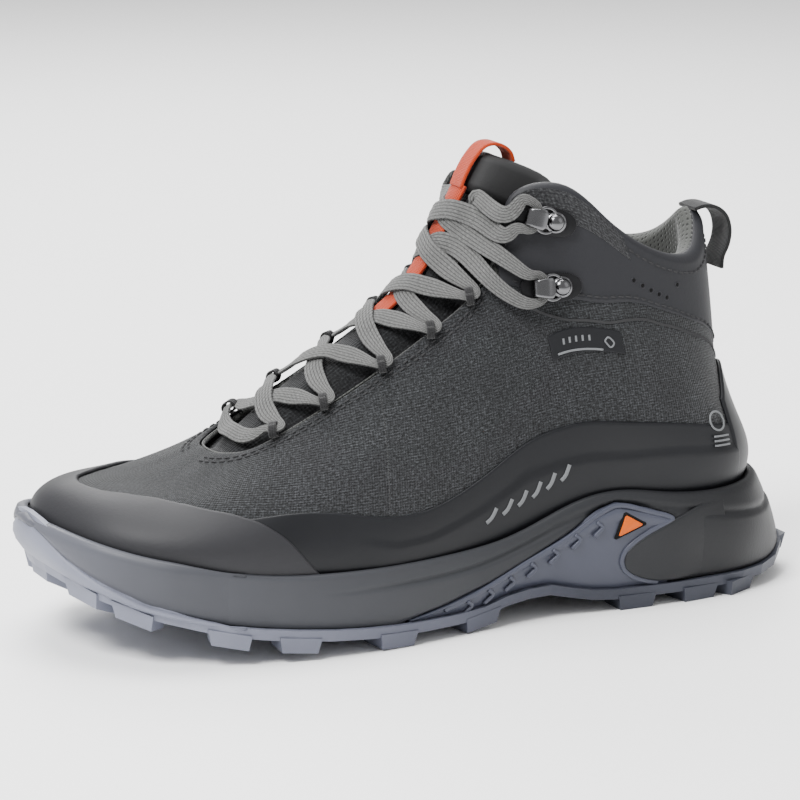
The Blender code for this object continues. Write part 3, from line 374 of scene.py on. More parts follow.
def webbing(name, base, dark, pitch=3.6, **sockets):
    """Woven tape: ribs across it and threads along it."""
    made, tree = new_material(name)
    place = coordinates(tree, "uv")
    ribs = wave(tree, place, pitch, "Y", 0.3)
    threads = wave(tree, place, pitch * 1.6, "X", 0.3)
    speck = noise(tree, place, 30, 2)
    height = mix(tree, 0.5, ribs, threads)
    shade = ramp(tree, height, [(0.15, 0.0), (0.6, 1.0)])
    colour = mix(tree, shade, (*dark, 1), (*base, 1))
    colour = mix(tree, ramp(tree, speck, [(0.4, 0.0), (0.8, 0.35)]), colour, (*dark, 1))
    finish_material(tree, colour, 0.85, height, 0.25, Sheen_Weight=0.15, **sockets)
    return made


def lace_weave(name):
    """Braided grey lace with dark yarns between its ribs."""
    made, tree = new_material(name)
    place = coordinates(tree, "uv")
    braid = wave(tree, coordinates(tree, "uv", (1.0, 1.0, 1)), 3.4, "DIAGONAL", 0.4)
    lines = wave(tree, place, LACE_RIBS * 0.42, "X")
    speck = noise(tree, coordinates(tree, "uv", (6, 1, 1)), 9, 3, 0.6)
    colour = mix(tree, ramp(tree, speck, [(0.35, 0.0), (0.7, 1.0)]), (0.055, 0.055, 0.054, 1),
                 (0.155, 0.156, 0.153, 1))
    colour = mix(tree, ramp(tree, lines, [(0.0, 0.75), (0.35, 0.0)]), colour, (0.012, 0.012, 0.012, 1))
    finish_material(tree, colour, 0.88, braid, 0.18, Sheen_Weight=0.1)
    return made


def knit(name, base, dark):
    """Soft spacer knit with small holes."""
    made, tree = new_material(name)
    place = coordinates(tree, "uv")
    cells = node(tree, "ShaderNodeTexVoronoi", {"Vector": place, "Scale": 5.5, "Randomness": 0.25})
    hole = ramp(tree, cells.outputs["Distance"], [(0.12, 0.0), (0.36, 1.0)])
    fuzz = noise(tree, place, 26, 3)
    colour = mix(tree, hole, (*dark, 1), (*base, 1))
    colour = mix(tree, ramp(tree, fuzz, [(0.3, 0.0), (0.8, 0.5)]), colour, (*dark, 1))
    finish_material(tree, colour, 0.95, mix(tree, 0.3, hole, fuzz), 0.5, Sheen_Weight=0.25)
    return made


LACE_RIBS = 6
LOOKS = {
    "fabric": melange("melange_fabric", (0.0035, 0.0037, 0.004), (0.068, 0.072, 0.078)),
    "tongue_fabric": melange("tongue_fabric", (0.004, 0.004, 0.0045), (0.04, 0.042, 0.045), 0.3, 2.4),
    "band": melange("collar_band", (0.008, 0.008, 0.009), (0.08, 0.082, 0.086), 0.6, 2.0),
    "film": grained("matt_film", (0.005, 0.0053, 0.0065), 0.42, 3.0, 0.03, 0.5, Specular_IOR_Level=0.22),
    "cap": grained("toe_cap_synthetic", (0.014, 0.014, 0.016), 0.52, 4.0, 0.06, 0.3, Specular_IOR_Level=0.25),
    "collar": grained("collar_synthetic", (0.013, 0.0132, 0.0155), 0.52, 5.0, 0.07),
    "head": grained("tongue_head_synthetic", (0.012, 0.012, 0.0125), 0.6, 5.0, 0.08),
    "lining": knit("lining_knit", (0.06, 0.062, 0.058), (0.016, 0.017, 0.016)),
    "footbed": knit("footbed_cloth", (0.05, 0.05, 0.053), (0.012, 0.012, 0.013)),
    # midsole: painted light on the toe, painted shade darkening the foam towards the heel
    "midsole": shade_painted_along("midsole_foam", [(0.0, (0.085, 0.088, 0.105)), (0.12, (0.05, 0.052, 0.06)),
                                             (0.4, (0.033, 0.0345, 0.039)), (0.62, (0.019, 0.02, 0.0225)),
                                             (0.85, (0.009, 0.0093, 0.0105))], 0.45),
    # outsole: light grey-blue rubber at the toe, darkened towards the heel by painted shade
    "rubber": shade_painted_along("outsole_rubber", [(0.0, (0.19, 0.2, 0.25)), (0.4, (0.09, 0.095, 0.125)),
                                              (0.65, (0.033, 0.036, 0.05)), (1.0, (0.05, 0.054, 0.07))],
                           0.45),
    "plastic": grained("stabiliser_plastic", (0.034, 0.037, 0.053), 0.36, 3.0, 0.03, 0.35,
                       Specular_IOR_Level=0.35),
    "orange": webbing("orange_webbing", (0.42, 0.036, 0.0), (0.2, 0.01, 0.0)),
    "black_tape": webbing("black_webbing", (0.012, 0.012, 0.013), (0.004, 0.004, 0.004)),
    "lace": lace_weave("grey_lace"),
    "badge": grained("orange_badge", (0.45, 0.075, 0.002), 0.35, 3.0, 0.02),
    # dark thread for the stitches; also the colour of the painted shadow line along the quarter panel's top
    # edge
    "thread_and_shadow": grained("thread_and_shadow", (0.02, 0.02, 0.021), 0.8, 8.0, 0.1, 0.6),
    "mark": grained("printed_mark", (0.12, 0.125, 0.13), 0.5, 3.0, 0.02),
    "metal": grained("gunmetal", (0.13, 0.13, 0.135), 0.16, 3.0, 0.01, 0.1, Metallic=1.0,
                     Specular_IOR_Level=0.5),
    "dark_metal": grained("dark_plate", (0.014, 0.014, 0.015), 0.28, 3.0, 0.01, 0.1, Metallic=0.6),
    "board": grained("fibre_board", (0.25, 0.23, 0.19), 0.9, 4.0, 0.1),
    # near-black: painted shade inside the vents' holes; also used for the badge's dark outline
    "hole": grained("hole", (0.002, 0.002, 0.002), 0.9, 4.0, 0.02),
}


# ---------------------------------------------------------------- making pieces

def piece(name, points, faces, look, uv=None, body="boot", stands_for=(), slot=None):
    """A smooth mesh piece from points in millimetres, riding on a body."""
    mesh = bpy.data.meshes.new(name)
    mesh.from_pydata([tuple(p) for p in np.asarray(points, float) * MM], [], faces)
    made = bpy.data.objects.new(name, mesh)
    bpy.context.scene.collection.objects.link(made)
    mesh.materials.append(LOOKS[look])
    if uv is not None:
        layer = mesh.uv_layers.new(name="UVMap")
        corners = np.empty(len(mesh.loops), int)
        mesh.loops.foreach_get("vertex_index", corners)
        layer.data.foreach_set("uv", np.asarray(uv, float)[corners].ravel())
    mesh.shade_smooth()
    mesh.update()
    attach(made, body)
    if stands_for:
        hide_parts(*stands_for)
    return made


def soft_edges(made, width, segments=2, angle=30):
    """Rounds the sharp edges of a piece by width millimetres."""
    soften = made.modifiers.new("Soft edges", "BEVEL")
    soften.width = width * MM
    soften.segments = segments
    soften.limit_method = "ANGLE"
    soften.angle_limit = math.radians(angle)


def thicken(made, thickness, offset=-1):
    """Gives a piece a thickness inward (-1), both ways (0) or outward (1)."""
    layer = made.modifiers.new("Thickness", "SOLIDIFY")
    layer.thickness = thickness * MM
    layer.offset = offset


def arc_uv(grid):
    """Surface coordinates of a grid in centimetres, measured along its middle row and its columns."""
    rows = grid.shape[1]
    along_it = np.repeat(travelled(grid)[:, [rows // 2]], rows, axis=1)
    return np.stack([along_it, travelled(grid, 1)], axis=2) / 10


def grid_faces(columns, rows, closed=False):
    """Quads of a grid whose points are listed column by column."""
    faces = []
    for i in range(columns if closed else columns - 1):
        a, b = i * rows, (i + 1) % columns * rows
        for j in range(rows - 1):
            faces.append((a + j, b + j, b + j + 1, a + j + 1))
    return faces


def sheet_piece(name, grid, look, thickness, closed=False, **place):
    """A grid of points given a thickness inward."""
    columns, rows = grid.shape[:2]
    made = piece(name, grid.reshape(-1, 3), grid_faces(columns, rows, closed), look,
                 arc_uv(grid).reshape(-1, 2), **place)
    thicken(made, thickness)
    return made


def fine_steps(count, soft=0.0):
    """Shares from 0 to 1, closer together within soft of each end."""
    ends = soft * np.array([0.08, 0.2, 0.4, 0.65, 0.9])
    return np.unique(np.concatenate([np.linspace(0, 1, count), ends, 1 - ends])) if soft else (
        np.linspace(0, 1, count))


def rounding(distance, radius):
    """How far a surface has fallen near its border, for a quarter-round edge."""
    inside = np.clip(1 - distance / radius, 0, 1)
    return radius * (1 - np.sqrt(1 - inside ** 2))


def patch(name, look, start, end, low, high, out, columns, rows, edge=0.0, borders="start end low high",
          relief=None, thickness=0.8, **place):
    """A fine patch of the upper between two seams; its borders are rounded down by edge."""
    stations = start + (end - start) * fine_steps(columns, 0.02 if edge else 0)
    shares = fine_steps(rows, 0.06 if edge else 0)
    u = np.repeat(stations, len(shares))
    share = np.tile(shares, len(stations))
    v = low(u) + (high(u) - low(u)) * share
    shape = (len(stations), len(shares), 3)
    base, normal = (part.reshape(shape) for part in raised(u, v))
    lift = np.full(shape[:2], float(out))
    if relief is not None:
        lift += relief(u, v).reshape(shape[:2])
    if edge:
        across, rise = travelled(base), travelled(base, 1)
        gaps = {"start": across, "end": across[-1] - across, "low": rise, "high": rise[:, -1:] - rise}
        nearest = np.min([gaps[word] for word in borders.split()], axis=0)
        lift -= rounding(nearest, edge)
    return sheet_piece(name, base + normal * lift[..., None], look, thickness, **place)


def constant(value):
    return lambda u: np.full(np.shape(u), float(value))


def smooth_seam(points, shift=0.0, width=0.35):
    """A seam with its corners rounded, by averaging over nearby stations."""
    def height(u):
        return np.mean([seam(points, np.asarray(u) + step) for step in np.linspace(-width, width, 7)],
                       axis=0) + shift
    return height


# ---------------------------------------------------------------- upper

def smoothstep(x):
    x = np.clip(x, 0, 1)
    return x * x * (3 - 2 * x)


def foam_share(u, v):
    """How much of the collar's padding there is at a place of the upper, 0 to 1."""
    behind = smoothstep((fold(u) - 10.7) / 2.2)
    above = smoothstep((v - (seam(COLLAR_SEAM, u) - 0.16)) / 0.2)
    return behind * above


def lining_depth(u, v):
    """Depth of the lining's visible face under the upper's surface."""
    toe = np.clip((3.4 + 1 - fold(u)) * 2, 0, 1)
    heel = np.clip((fold(u) - 13.2 + 1) * 2, 0, 1)
    stiffener = np.maximum(toe, heel) * np.clip((0.64 - v) / 0.1, 0, 1) * (PUFF_T + LAYER_GAP)
    foam = (COLLAR_FOAM_T + LAYER_GAP + 0.8) * foam_share(u, v)
    return SHELL_T + LAYER_GAP + LINING_T + np.maximum(stiffener, foam)


def over_top(u, angle):
    """The rolled top edge, from the outer face (angle 0) over to the lining (pi)."""
    top = np.ones(len(u))
    base, out = raised(u, top)
    rise = unit_rows(upper_point(u, top) - upper_point(u, np.full(len(u), 0.97)))
    reach = (lining_depth(u, top) / 2)[:, None]
    turn = np.asarray(angle)[:, None]
    return base - out * reach * (1 - np.cos(turn)) + rise * reach * 0.75 * np.sin(turn)


def rolled_edge(stations, angles):
    """Grid of the rolled top edge."""
    shape = (len(stations), len(angles), 3)
    return over_top(np.repeat(stations, shape[1]), np.tile(angles, shape[0])).reshape(shape)


ROLL_SPLIT = math.radians(80)     # where the collar's synthetic meets the lining on the rolled edge


def collar_panel(name, start, end, nodes):
    """Smooth ankle panel that rolls over the top edge."""
    stations = start + (end - start) * fine_steps(90, 0.02)
    shares = fine_steps(26)
    angles = np.linspace(0, ROLL_SPLIT, 7)[1:]
    u = np.repeat(stations, len(shares))
    low = smooth_seam(COLLAR_SEAM, 0.004, 0.25)(u)
    v = low + (1 - low) * np.tile(shares, len(stations))
    wall = upper(u, v, 0.25).reshape(len(stations), len(shares), 3)
    grid = np.concatenate([wall, rolled_edge(stations, angles)], axis=1)
    return sheet_piece(name, grid, "collar", 1.2, stands_for=nodes, slot="collar_synthetic")


def lining_piece():
    """Padded knit lining from the rolled edge down to the footbed."""
    stations = np.linspace(0, STATIONS, 241)[:-1]
    angles = np.linspace(ROLL_SPLIT - 0.1, math.pi, 8)
    heights = np.linspace(1, 0.06, 40)[1:]
    u = np.repeat(stations, len(heights))
    v = np.tile(heights, len(stations))
    wall = upper(u, v, -lining_depth(u, v)).reshape(len(stations), len(heights), 3)
    grid = np.concatenate([rolled_edge(stations, angles), wall], axis=1)
    made = sheet_piece("lining_knit", grid, "lining", 0.6, closed=True,
                       stands_for=("lining", "collar_foam"), slot="lining_knit")
    return made


def upper_pieces():
    """Fabric of the vamp and the quarters, the collar panels and the lining."""
    top = dict(edge=0.9, borders="high", thickness=1.5, slot="melange_fabric")
    patch("vamp_fabric", "fabric", -VAMP_SEAM, VAMP_SEAM, constant(0), constant(1), out=0, columns=150,
          rows=40, stands_for=("vamp",), **top)
    under = smooth_seam(COLLAR_SEAM, 0.02, 0.25)
    for side, word in SIDES:
        patch(f"quarter_fabric_{word}", "fabric", *span(side, VAMP_SEAM, HEEL), constant(0), under, out=0,
              columns=110, rows=40, stands_for=(f"quarter_{word}",), **top)
        collar_panel(f"collar_{word}", *span(side, COLLAR_FRONT, HEEL), (f"collar_panel_{word}",))
    lining_piece()


def overlay_pieces():
    """Welded films and the toe cap, with soft borders."""
    foot = constant(0.03)
    toe_top = smooth_seam(TOE_CAP_EDGE, 0.0, 0.12)
    patch("toe_cap_skin", "cap", -TOE_CAP_END, TOE_CAP_END, foot, toe_top, out=1.5, columns=130, rows=26,
          edge=1.3, borders="high", thickness=1.2, stands_for=("toe_cap",), slot="toe_cap_synthetic")
    for side, word in SIDES:
        patch(f"film_{word}", "film", *span(side, *FILM_ENDS), foot, smooth_seam(FILM_TOP, 0.0, 0.5), out=0.9,
              columns=130, rows=26, edge=0.9, borders="high", relief=film_relief,
              stands_for=(f"side_film_{word}",), slot="matt_film")
    patch("heel_overlay_skin", "film", OVERLAY_START, STATIONS - OVERLAY_START, foot,
          smooth_seam(HEEL_OVERLAY_TOP, 0, 0.3), out=1.7, columns=70, rows=26, edge=1.4,
          borders="start end high", stands_for=("heel_overlay",), slot="matt_film")


def film_relief(u, v):
    """A moulded step along the film, below its top edge."""
    line = seam(FILM_TOP, u) - 0.1
    behind = smoothstep((fold(u) - 6.2) / 0.8)
    under_cap = 0.6 * smoothstep((6.2 - fold(u)) / 0.5)
    return 0.8 * smoothstep((line - v) / 0.025) * behind - under_cap


# ---------------------------------------------------------------- sole

RING = np.arange(272) * STATIONS / 272
COLUMNS = len(RING)

# The ground under the lugs, as (x, z).
GROUND_LINE = [(-152, 28), (-137, 20), (-122, 13.5), (-95, 6.5), (-76, 3.8), (-56, 1.8), (-35, 0.4),
               (-12, 0), (2, 0.8), (18, 4.5), (33, 4.8), (46, 1.2), (58, 0), (130, 0), (140, 2.5), (152, 10)]
# Sole wall at each lateral station: distance out at its foot, middle and lip, and the lip's height.
SOLE_WALL = [
    (5.5, 8.5, 8.6, 45.5), (5.5, 8.5, 8.7, 45), (5, 7.5, 8.4, 42.5), (4.5, 6.5, 7.8, 38.5),
    (4.5, 6.3, 6.6, 35), (4.5, 6.2, 6.2, 32), (4.8, 6.5, 6, 30.7), (4.8, 6.8, 6, 30.3),
    (4.6, 7, 6.1, 30.8), (4.5, 7.5, 6.6, 33), (5, 8.5, 7.2, 38.5), (5.5, 9, 7.4, 44), (6, 9.5, 7.4, 45),
    (6.5, 10, 7.4, 42.5), (7, 10.5, 7.8, 41), (9.5, 12, 8, 41), (15.5, 14, 8.5, 41),
    (21.5, 16.5, 9, 41),
]
# The stabiliser's wing: (x, height of its rim above the ground).
WING_RIM = [(-30, 9.5), (-14, 13), (4, 18), (21, 24.6), (37, 31.4), (50, 39), (58, 41.4), (71, 38),
            (84, 33)]


def ground(x):
    """Height of the ground under the lugs at x."""
    return read_table(GROUND_LINE, x)


def sole_outline():
    """Plan of the feather line and its outward direction at every column."""
    foot = upper_point(RING, np.zeros(COLUMNS))
    way = np.roll(foot, -1, axis=0) - np.roll(foot, 1, axis=0)
    outward = np.stack([way[:, 1], -way[:, 0], 0 * way[:, 0]], axis=1)
    return foot, unit_rows(outward)


FOOT, OUTWARD = sole_outline()
WALL = [both_sides([row[i] for row in SOLE_WALL], RING) for i in range(4)]
LIP_Z = WALL[3]


def ring_at(distance, height):
    """Ring around the boot, a distance out from the feather line, at a height."""
    ring = FOOT + OUTWARD * np.broadcast_to(distance, COLUMNS)[:, None]
    ring[:, 2] = height
    return ring


def wall_distance(share):
    """How far the sole's wall stands out, from its foot (0) to its lip (1)."""
    foot, middle, lip = WALL[:3]
    return foot + share * (4 * middle - 3 * foot - lip) + share ** 2 * (2 * foot + 2 * lip - 4 * middle)


def base_height():
    """Top of the outsole's base at every column."""
    return ground(ring_at(WALL[0], 0)[:, 0]) + LUG_DEPTH + OUTSOLE_T


BASE_Z = base_height()
MIDSOLE_FOOT_Z = BASE_Z + CLEARANCE


def wall_ring(share, out=0.0):
    height = MIDSOLE_FOOT_Z + (LIP_Z - MIDSOLE_FOOT_Z) * share
    return ring_at(wall_distance(share) + out, height)


def height_on_upper(height):
    """The v at which the upper passes a height, at every column."""
    levels = np.linspace(0, 0.4, 21)
    rise = np.array([upper_point(RING, np.full(COLUMNS, v))[:, 2] for v in levels])
    return np.array([np.interp(height[i], rise[:, i], levels) for i in range(COLUMNS)])


LIP_V = height_on_upper(LIP_Z)


def midsole_piece():
    """Moulded foam midsole: a cup for the upper, a soft lip and a moulded line behind the forefoot."""
    inner = OVERLAY_T + LAYER_GAP + 0.4
    floor = FOOT[:, 2] - CLEARANCE
    rings = [ring_at(-6, floor), ring_at(inner, floor)]
    for share in (0.35, 0.7, 0.9):
        beside = upper_point(RING, LIP_V * share)
        reach = np.einsum("nc,nc->n", beside - FOOT, OUTWARD)
        rings.append(ring_at(reach + inner, beside[:, 2]))
    behind = smoothstep((fold(RING) - 5.5) / 2)
    shares = np.concatenate([np.linspace(1.0, 0.9, 5), np.linspace(0.86, 0.06, 34), [0.03, 0.0]])
    for share in shares:
        lip = 1.3 * (1 - np.sqrt(np.clip(1 - np.clip((share - 0.9) / 0.1, 0, 1) ** 2, 0, 1)))
        foot = 1.0 * smoothstep((0.06 - share) / 0.06)
        crease = 0.8 * np.exp(-((share - crease_share()) / 0.035) ** 2) * behind
        step = 0.6 * smoothstep((crease_share() - share) / 0.06) * behind
        rings.append(wall_ring(share, -lip - foot - crease + step - wing_room(share)))
    rings.append(ring_at(WALL[0] - 8, MIDSOLE_FOOT_Z))
    grid = np.stack(rings[::-1], axis=1)
    return sheet_piece("midsole_foam", grid, "midsole", 1.0, closed=True, stands_for=("midsole",),
                       slot="midsole_foam")


def share_at(height):
    """Share of the wall that a height stands for, at every column."""
    return np.clip((height - MIDSOLE_FOOT_Z) / (LIP_Z - MIDSOLE_FOOT_Z), 0, 1)


def crease_share():
    """Height of the moulded line on the midsole's wall, as a share of the wall, at every column."""
    return both_sides([0.62, 0.62, 0.62, 0.63, 0.64, 0.66, 0.68, 0.7, 0.72, 0.76, 0.8, 0.84, 0.86, 0.84,
                       0.78, 0.7, 0.64, 0.62], RING)


def wing_heights():
    """How far up the sole's wall the stabiliser's rim lies at every column, 0 away from it."""
    x = FOOT[:, 0]
    rim = read_table(WING_RIM, x)
    share = np.maximum(0.08, (rim - MIDSOLE_FOOT_Z) / (LIP_Z - MIDSOLE_FOOT_Z))
    return np.where((x > WING_RIM[0][0]) & (x < 81), share, 0)


def wing_room(share):
    """How far the midsole steps back behind the stabiliser."""
    return 2.4 * smoothstep((wing_heights() - share) / 0.05 + 0.5)


def stabiliser_piece():
    """Moulded plate under the arch whose wings climb both sides of the midsole."""
    rims = wing_heights()
    columns = [i for i in range(COLUMNS // 2) if rims[i] > 0]
    parts = np.concatenate([np.linspace(1, 0.9, 5), np.linspace(0.85, 0.0, 16)])
    sides = {}
    for sign in (1, -1):
        rows = []
        for part in parts:
            lift = 0.5 - 1.2 * smoothstep((part - 0.93) / 0.07)
            lift += 0.8 * smoothstep((part - 0.8) / 0.04) * smoothstep((0.97 - part) / 0.04)
            ring = wall_ring(rims * part, lift)
            rows.append(ring[[(sign * i) % COLUMNS for i in columns]])
        sides[sign] = np.stack(rows, axis=1)
    bottom = []
    for share in np.linspace(0, 1, 7)[1:-1]:
        bottom.append(sides[1][:, -1] * (1 - share) + sides[-1][:, -1] * share)
    grid = np.concatenate([sides[1], np.stack(bottom, axis=1), sides[-1][:, ::-1]], axis=1)
    return sheet_piece("arch_wing", grid[:, ::-1], "plastic", 2.0, stands_for=("arch_stabiliser",),
                       slot="stabiliser_plastic")


WALL_GRID = np.array([wall_ring(share) for share in np.linspace(0, 1, 41)])


def on_wall(side, x, z, out):
    """A point over the sole's wall at x and z, on the lateral side (1) or medial (-1)."""
    half = WALL_GRID[:, :COLUMNS // 2 + 1] if side > 0 else WALL_GRID[:, -np.arange(COLUMNS // 2 + 1)]
    way = OUTWARD[np.arange(COLUMNS // 2 + 1) * (1 if side > 0 else -1)]
    heights = half[:, :, 2]
    columns = range(half.shape[1])
    x_there = [np.interp(z, heights[:, k], half[:, k, 0]) for k in columns]
    y_there = [np.interp(z, heights[:, k], half[:, k, 1]) for k in columns]
    return np.array([x + np.interp(x, x_there, way[:, 0]) * out,
                     np.interp(x, x_there, y_there) + np.interp(x, x_there, way[:, 1]) * out, z])


def wall_patch(name, side, outline, out, look, edge=0.5, fade=0.0, **place):
    """A soft-edged patch on the sole's wall from (x, low z, high z) rows; its rear sinks by fade."""
    table = np.array(outline, float)
    steps = fine_steps(40, 0.08)
    rows = []
    for x in table[0, 0] + (table[-1, 0] - table[0, 0]) * steps:
        low, high = np.interp(x, table[:, 0], table[:, 1]), np.interp(x, table[:, 0], table[:, 2])
        row = []
        sunk = fade * smoothstep((x - table[-1, 0] + 23) / 22)
        for share in fine_steps(14, 0.15):
            near = min(share * (high - low), (1 - share) * (high - low), (x - table[0, 0]) * 2)
            row.append(on_wall(side, x, low + (high - low) * share,
                               out - sunk - rounding(np.array(near), edge)))
        rows.append(row)
    grid = np.array(rows)
    if side < 0:
        grid = grid[::-1]
    return sheet_piece(name, grid, look, 1.5, **place)


# Outlines on the sole's wall: the heel wedge as (x, low z, high z); the wing's raised rim, the badge's
# corners and the middles of the chevrons as (x, z).
WEDGE = [(61, 18.5, 20.5), (62, 16, 23), (65, 13.4, 25.6), (70, 11.2, 28.4), (76, 9.6, 30.8),
         (82, 9.2, 33.4), (92, 9.4, 36.4), (104, 9.6, 38)]
WING_EDGE = [(-14, 11), (4, 16.6), (21, 23.4), (37, 30.2), (50, 37.6), (57, 40.2), (62, 39.8), (71, 36.8),
             (79, 34.2), (80.5, 33), (76, 31.4), (70, 29), (65, 26.2), (61.4, 23), (60.2, 19.5), (61.4, 16),
             (65, 12.8), (70, 10.6), (76, 9)]
BADGE_CORNERS = [(61, 37), (68.4, 32.6), (57.6, 28.8)]
WING_RIM_W = 1.9
WING_RIM_T = 1.5
CHEVRON_T = 1.5
CHEVRON_HALF = 2.6      # half its height
EMBOSSED = [(-4, 10.4), (5, 13.2), (14, 16.6), (23, 20.4), (32, 24.4), (41, 29), (50, 32.6)]


def sole_trim():
    """Heel wedge, raised rim, badge and plain chevrons on both wings."""
    for side, word in SIDES:
        wall_patch(f"heel_wedge_{word}", side, WEDGE, 1.7, "midsole", 0.8, 1.7)
        line = even_curve([(x, 0, z) for x, z in WING_EDGE], 8)
        rim = np.array([on_wall(side, x, z, 0.7) for x, _, z in line])
        out = np.array([on_wall(side, x, z, 1.7) for x, _, z in line]) - rim
        tube(f"wing_rim_{word}", rim, out, WING_RIM_W, WING_RIM_T, "plastic")
        for grow, lift, look, name in ((1.3, 1.5, "hole", "badge_frame"), (0.96, 1.95, "badge", "badge")):
            middle = np.mean(BADGE_CORNERS, axis=0)
            corners = middle + (np.array(BADGE_CORNERS) - middle) * grow
            outline = []
            for a, b in zip(corners, np.roll(corners, -1, axis=0)):
                outline += [a + (b - a) * part for part in (0.07, 0.5, 0.93)]
            points = [on_wall(side, x, z, lift) for x, z in outline]
            faces = [tuple(range(len(points)))[::-side]]
            given = dict(stands_for=(f"badge_{word}",), slot="orange_badge") if name == "badge" else {}
            made = piece(f"{name}_{word}", points, faces, look, **given)
            thicken(made, 1.0)
            soft_edges(made, 0.3, 3)
        for count, (x, z) in enumerate(EMBOSSED, 1):
            line = [(x - 1.8, z - CHEVRON_HALF), (x + 1.6, z + 0.6), (x - 0.6, z + CHEVRON_HALF)]
            points = np.array([on_wall(side, a, b, 1.15) for a, b in even_curve(line, 5)])
            out = np.array([on_wall(side, a, b, 2.15) for a, b in even_curve(line, 5)]) - points
            tube(f"chevron_{word}_{count}", points, out, CHEVRON_T, CHEVRON_T, "plastic")


def toe_bumper():
    """Rounded rubber bumper at the toe, and the midsole's foam that wraps the outsole's rim over it."""
    columns = [i % COLUMNS for i in range(-36, 37)]
    rise = np.interp(fold(RING), (0, 0.7, 1.4, 2.1, 3, 4, 5), (16.5, 13.5, 8.5, 4.6, 2.4, 1.8, 1.6))
    taper = smoothstep((4.45 - fold(RING)) / 1.2)
    rows = []
    for part, beyond in ((0.0, 0.2), (0.15, 1.3), (0.4, 2.1), (0.65, 2.2), (0.85, 1.7), (0.96, 0.9),
                         (1.03, -0.2), (1.03, -1.6), (0.95, -3.0)):
        height = BASE_Z + rise * part
        share = share_at(height)
        rows.append(ring_at(wall_distance(share) + OUTSOLE_T + beyond * taper - 0.4, height)[columns])
    sheet_piece("toe_bumper", np.stack(rows, axis=1), "rubber", 1.0, slot="outsole_rubber")
    rows = []
    for part, beyond in ((-0.05, 1.2), (0.0, 2.0), (0.08, 2.8), (0.3, 3.3), (0.55, 3.3), (0.75, 3.2),
                         (0.9, 3.0), (1.0, 2.4), (1.05, 1.3), (1.06, 0.0), (1.0, -1.6)):
        height = BASE_Z + rise + (LIP_Z - BASE_Z - rise) * min(part, 1) + max(part - 0.9, 0) * 10 * taper
        share = share_at(height)
        rows.append(ring_at(wall_distance(share) + beyond * taper - 0.3 * (1 - taper), height)[columns])
    sheet_piece("midsole_toe_wrap", np.stack(rows, axis=1), "midsole", 1.0, slot="midsole_foam")


def throat_gusset():
    """Fabric gusset between the front of the throat and the tongue."""
    stations = np.linspace(-4.6, 4.6, 41)
    rows = []
    for station in stations:
        edge = upper(station, 0.96, -1.7)[0]
        near, y = place_beside(edge) if abs(station) > 1.2 else (1.25, edge[1])
        inner = on_tongue(max(near, 1.25) + 0.25 * (1 - abs(station) / 4.6), y * 0.8, 0.4)[0]
        rows.append([edge * (1 - t) + inner * t - np.array((0, 0, 2.0)) * math.sin(math.pi * t)
                     for t in np.linspace(0, 1, 8)])
    sheet_piece("throat_gusset", np.array(rows), "tongue_fabric", 0.5)


def carried_over():
    """CAD nodes that stay as they are, with finished materials."""
    for name, look in (("outsole", "rubber"), ("toe_puff", "board"), ("heel_counter", "board"),
                       ("lasting_board", "board")):
        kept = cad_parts[name]
        kept.data.materials.clear()
        kept.data.materials.append(LOOKS[look])
    soft_edges(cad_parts["outsole"], 0.7, 2, 35)


def footbed_piece():
    """Contoured footbed with a raised heel cup and arch."""
    inset = SHELL_T + PUFF_T + LINING_T + 2 * LAYER_GAP + FOOTBED_GAP
    rings = []
    top = FOOT[:, 2] + BOARD_LIFT + BOARD_T + CLEARANCE + FOOTBED_T
    cup = 2.5 * smoothstep((FOOT[:, 0] - 10) / 60)
    for share, rise in ((0.0, -0.6), (0.03, 0.1), (0.12, 0.0), (0.3, -0.6), (0.55, -1.2), (0.8, -1.5)):
        ring = ring_at(-inset, top)
        centre_y = (ring[:, 1] + ring[(-np.arange(COLUMNS)) % COLUMNS, 1]) / 2
        ring[:, 1] += (centre_y - ring[:, 1]) * share
        ring[:, 2] += rise + cup * (1 - min(1, share * 2)) * 0.6
        rings.append(ring)
    centre = rings[-1].copy()
    centre[:, 1] = (centre[:, 1] + centre[(-np.arange(COLUMNS)) % COLUMNS, 1]) / 2
    rings.append(centre)
    grid = np.stack([ring_at(-inset, top - FOOTBED_T)] + rings, axis=1)
    made = sheet_piece("footbed_pad", grid, "footbed", 0.5, closed=True, body="footbed",
                       stands_for=("footbed",), slot="foam")
    return made


# ---------------------------------------------------------------- tongue

TONGUE_LINE = [(-101, 50.5), (-86, 60), (-70, 72.5), (-50, 87), (-28, 101), (-9, 114), (2.5, 127.5),
               (9.5, 140), (14.5, 149.5), (19, 157.5), (23.5, 165)]
TONGUE_HALF = [24, 25, 26, 26, 25, 24, 22, 19.5, 18.5, 18.5, 18]
TONGUE_FALL = [7, 9, 13, 17, 18.5, 19, 19, 19.5, 21, 23, 25]
TONGUE_DROP = [1, 1, 1, 1, 1, 1, 1, 1, 0.85, 0.6, 0.4]   # how far the sides hang at each point
TONGUE_SHOULDER = 0.8   # share of the half width where the padded middle ends in a flat wing
TONGUE_START = 0.7      # under the vamp
TONGUE_SEAM = 8.3       # place along TONGUE_LINE where the head starts
WEBBING_START = 4.3
WEBBING_LIFT = 0.5
WEBBING_W = 9.0
WEBBING_T = 1.2
TONGUE_LOOP_LINE = [(14.4, 153.9), (16.3, 158.3), (19.6, 163.8), (24.2, 168.2), (29, 168.4),
                    (33.2, 165.6), (34.6, 162)]
HEEL_LOOP_LINE = [(119.8, 116.5), (120.2, 121), (122.4, 126), (123, 131), (121.4, 136), (117.4, 139.2),
                  (112.5, 139.9), (108.8, 139)]


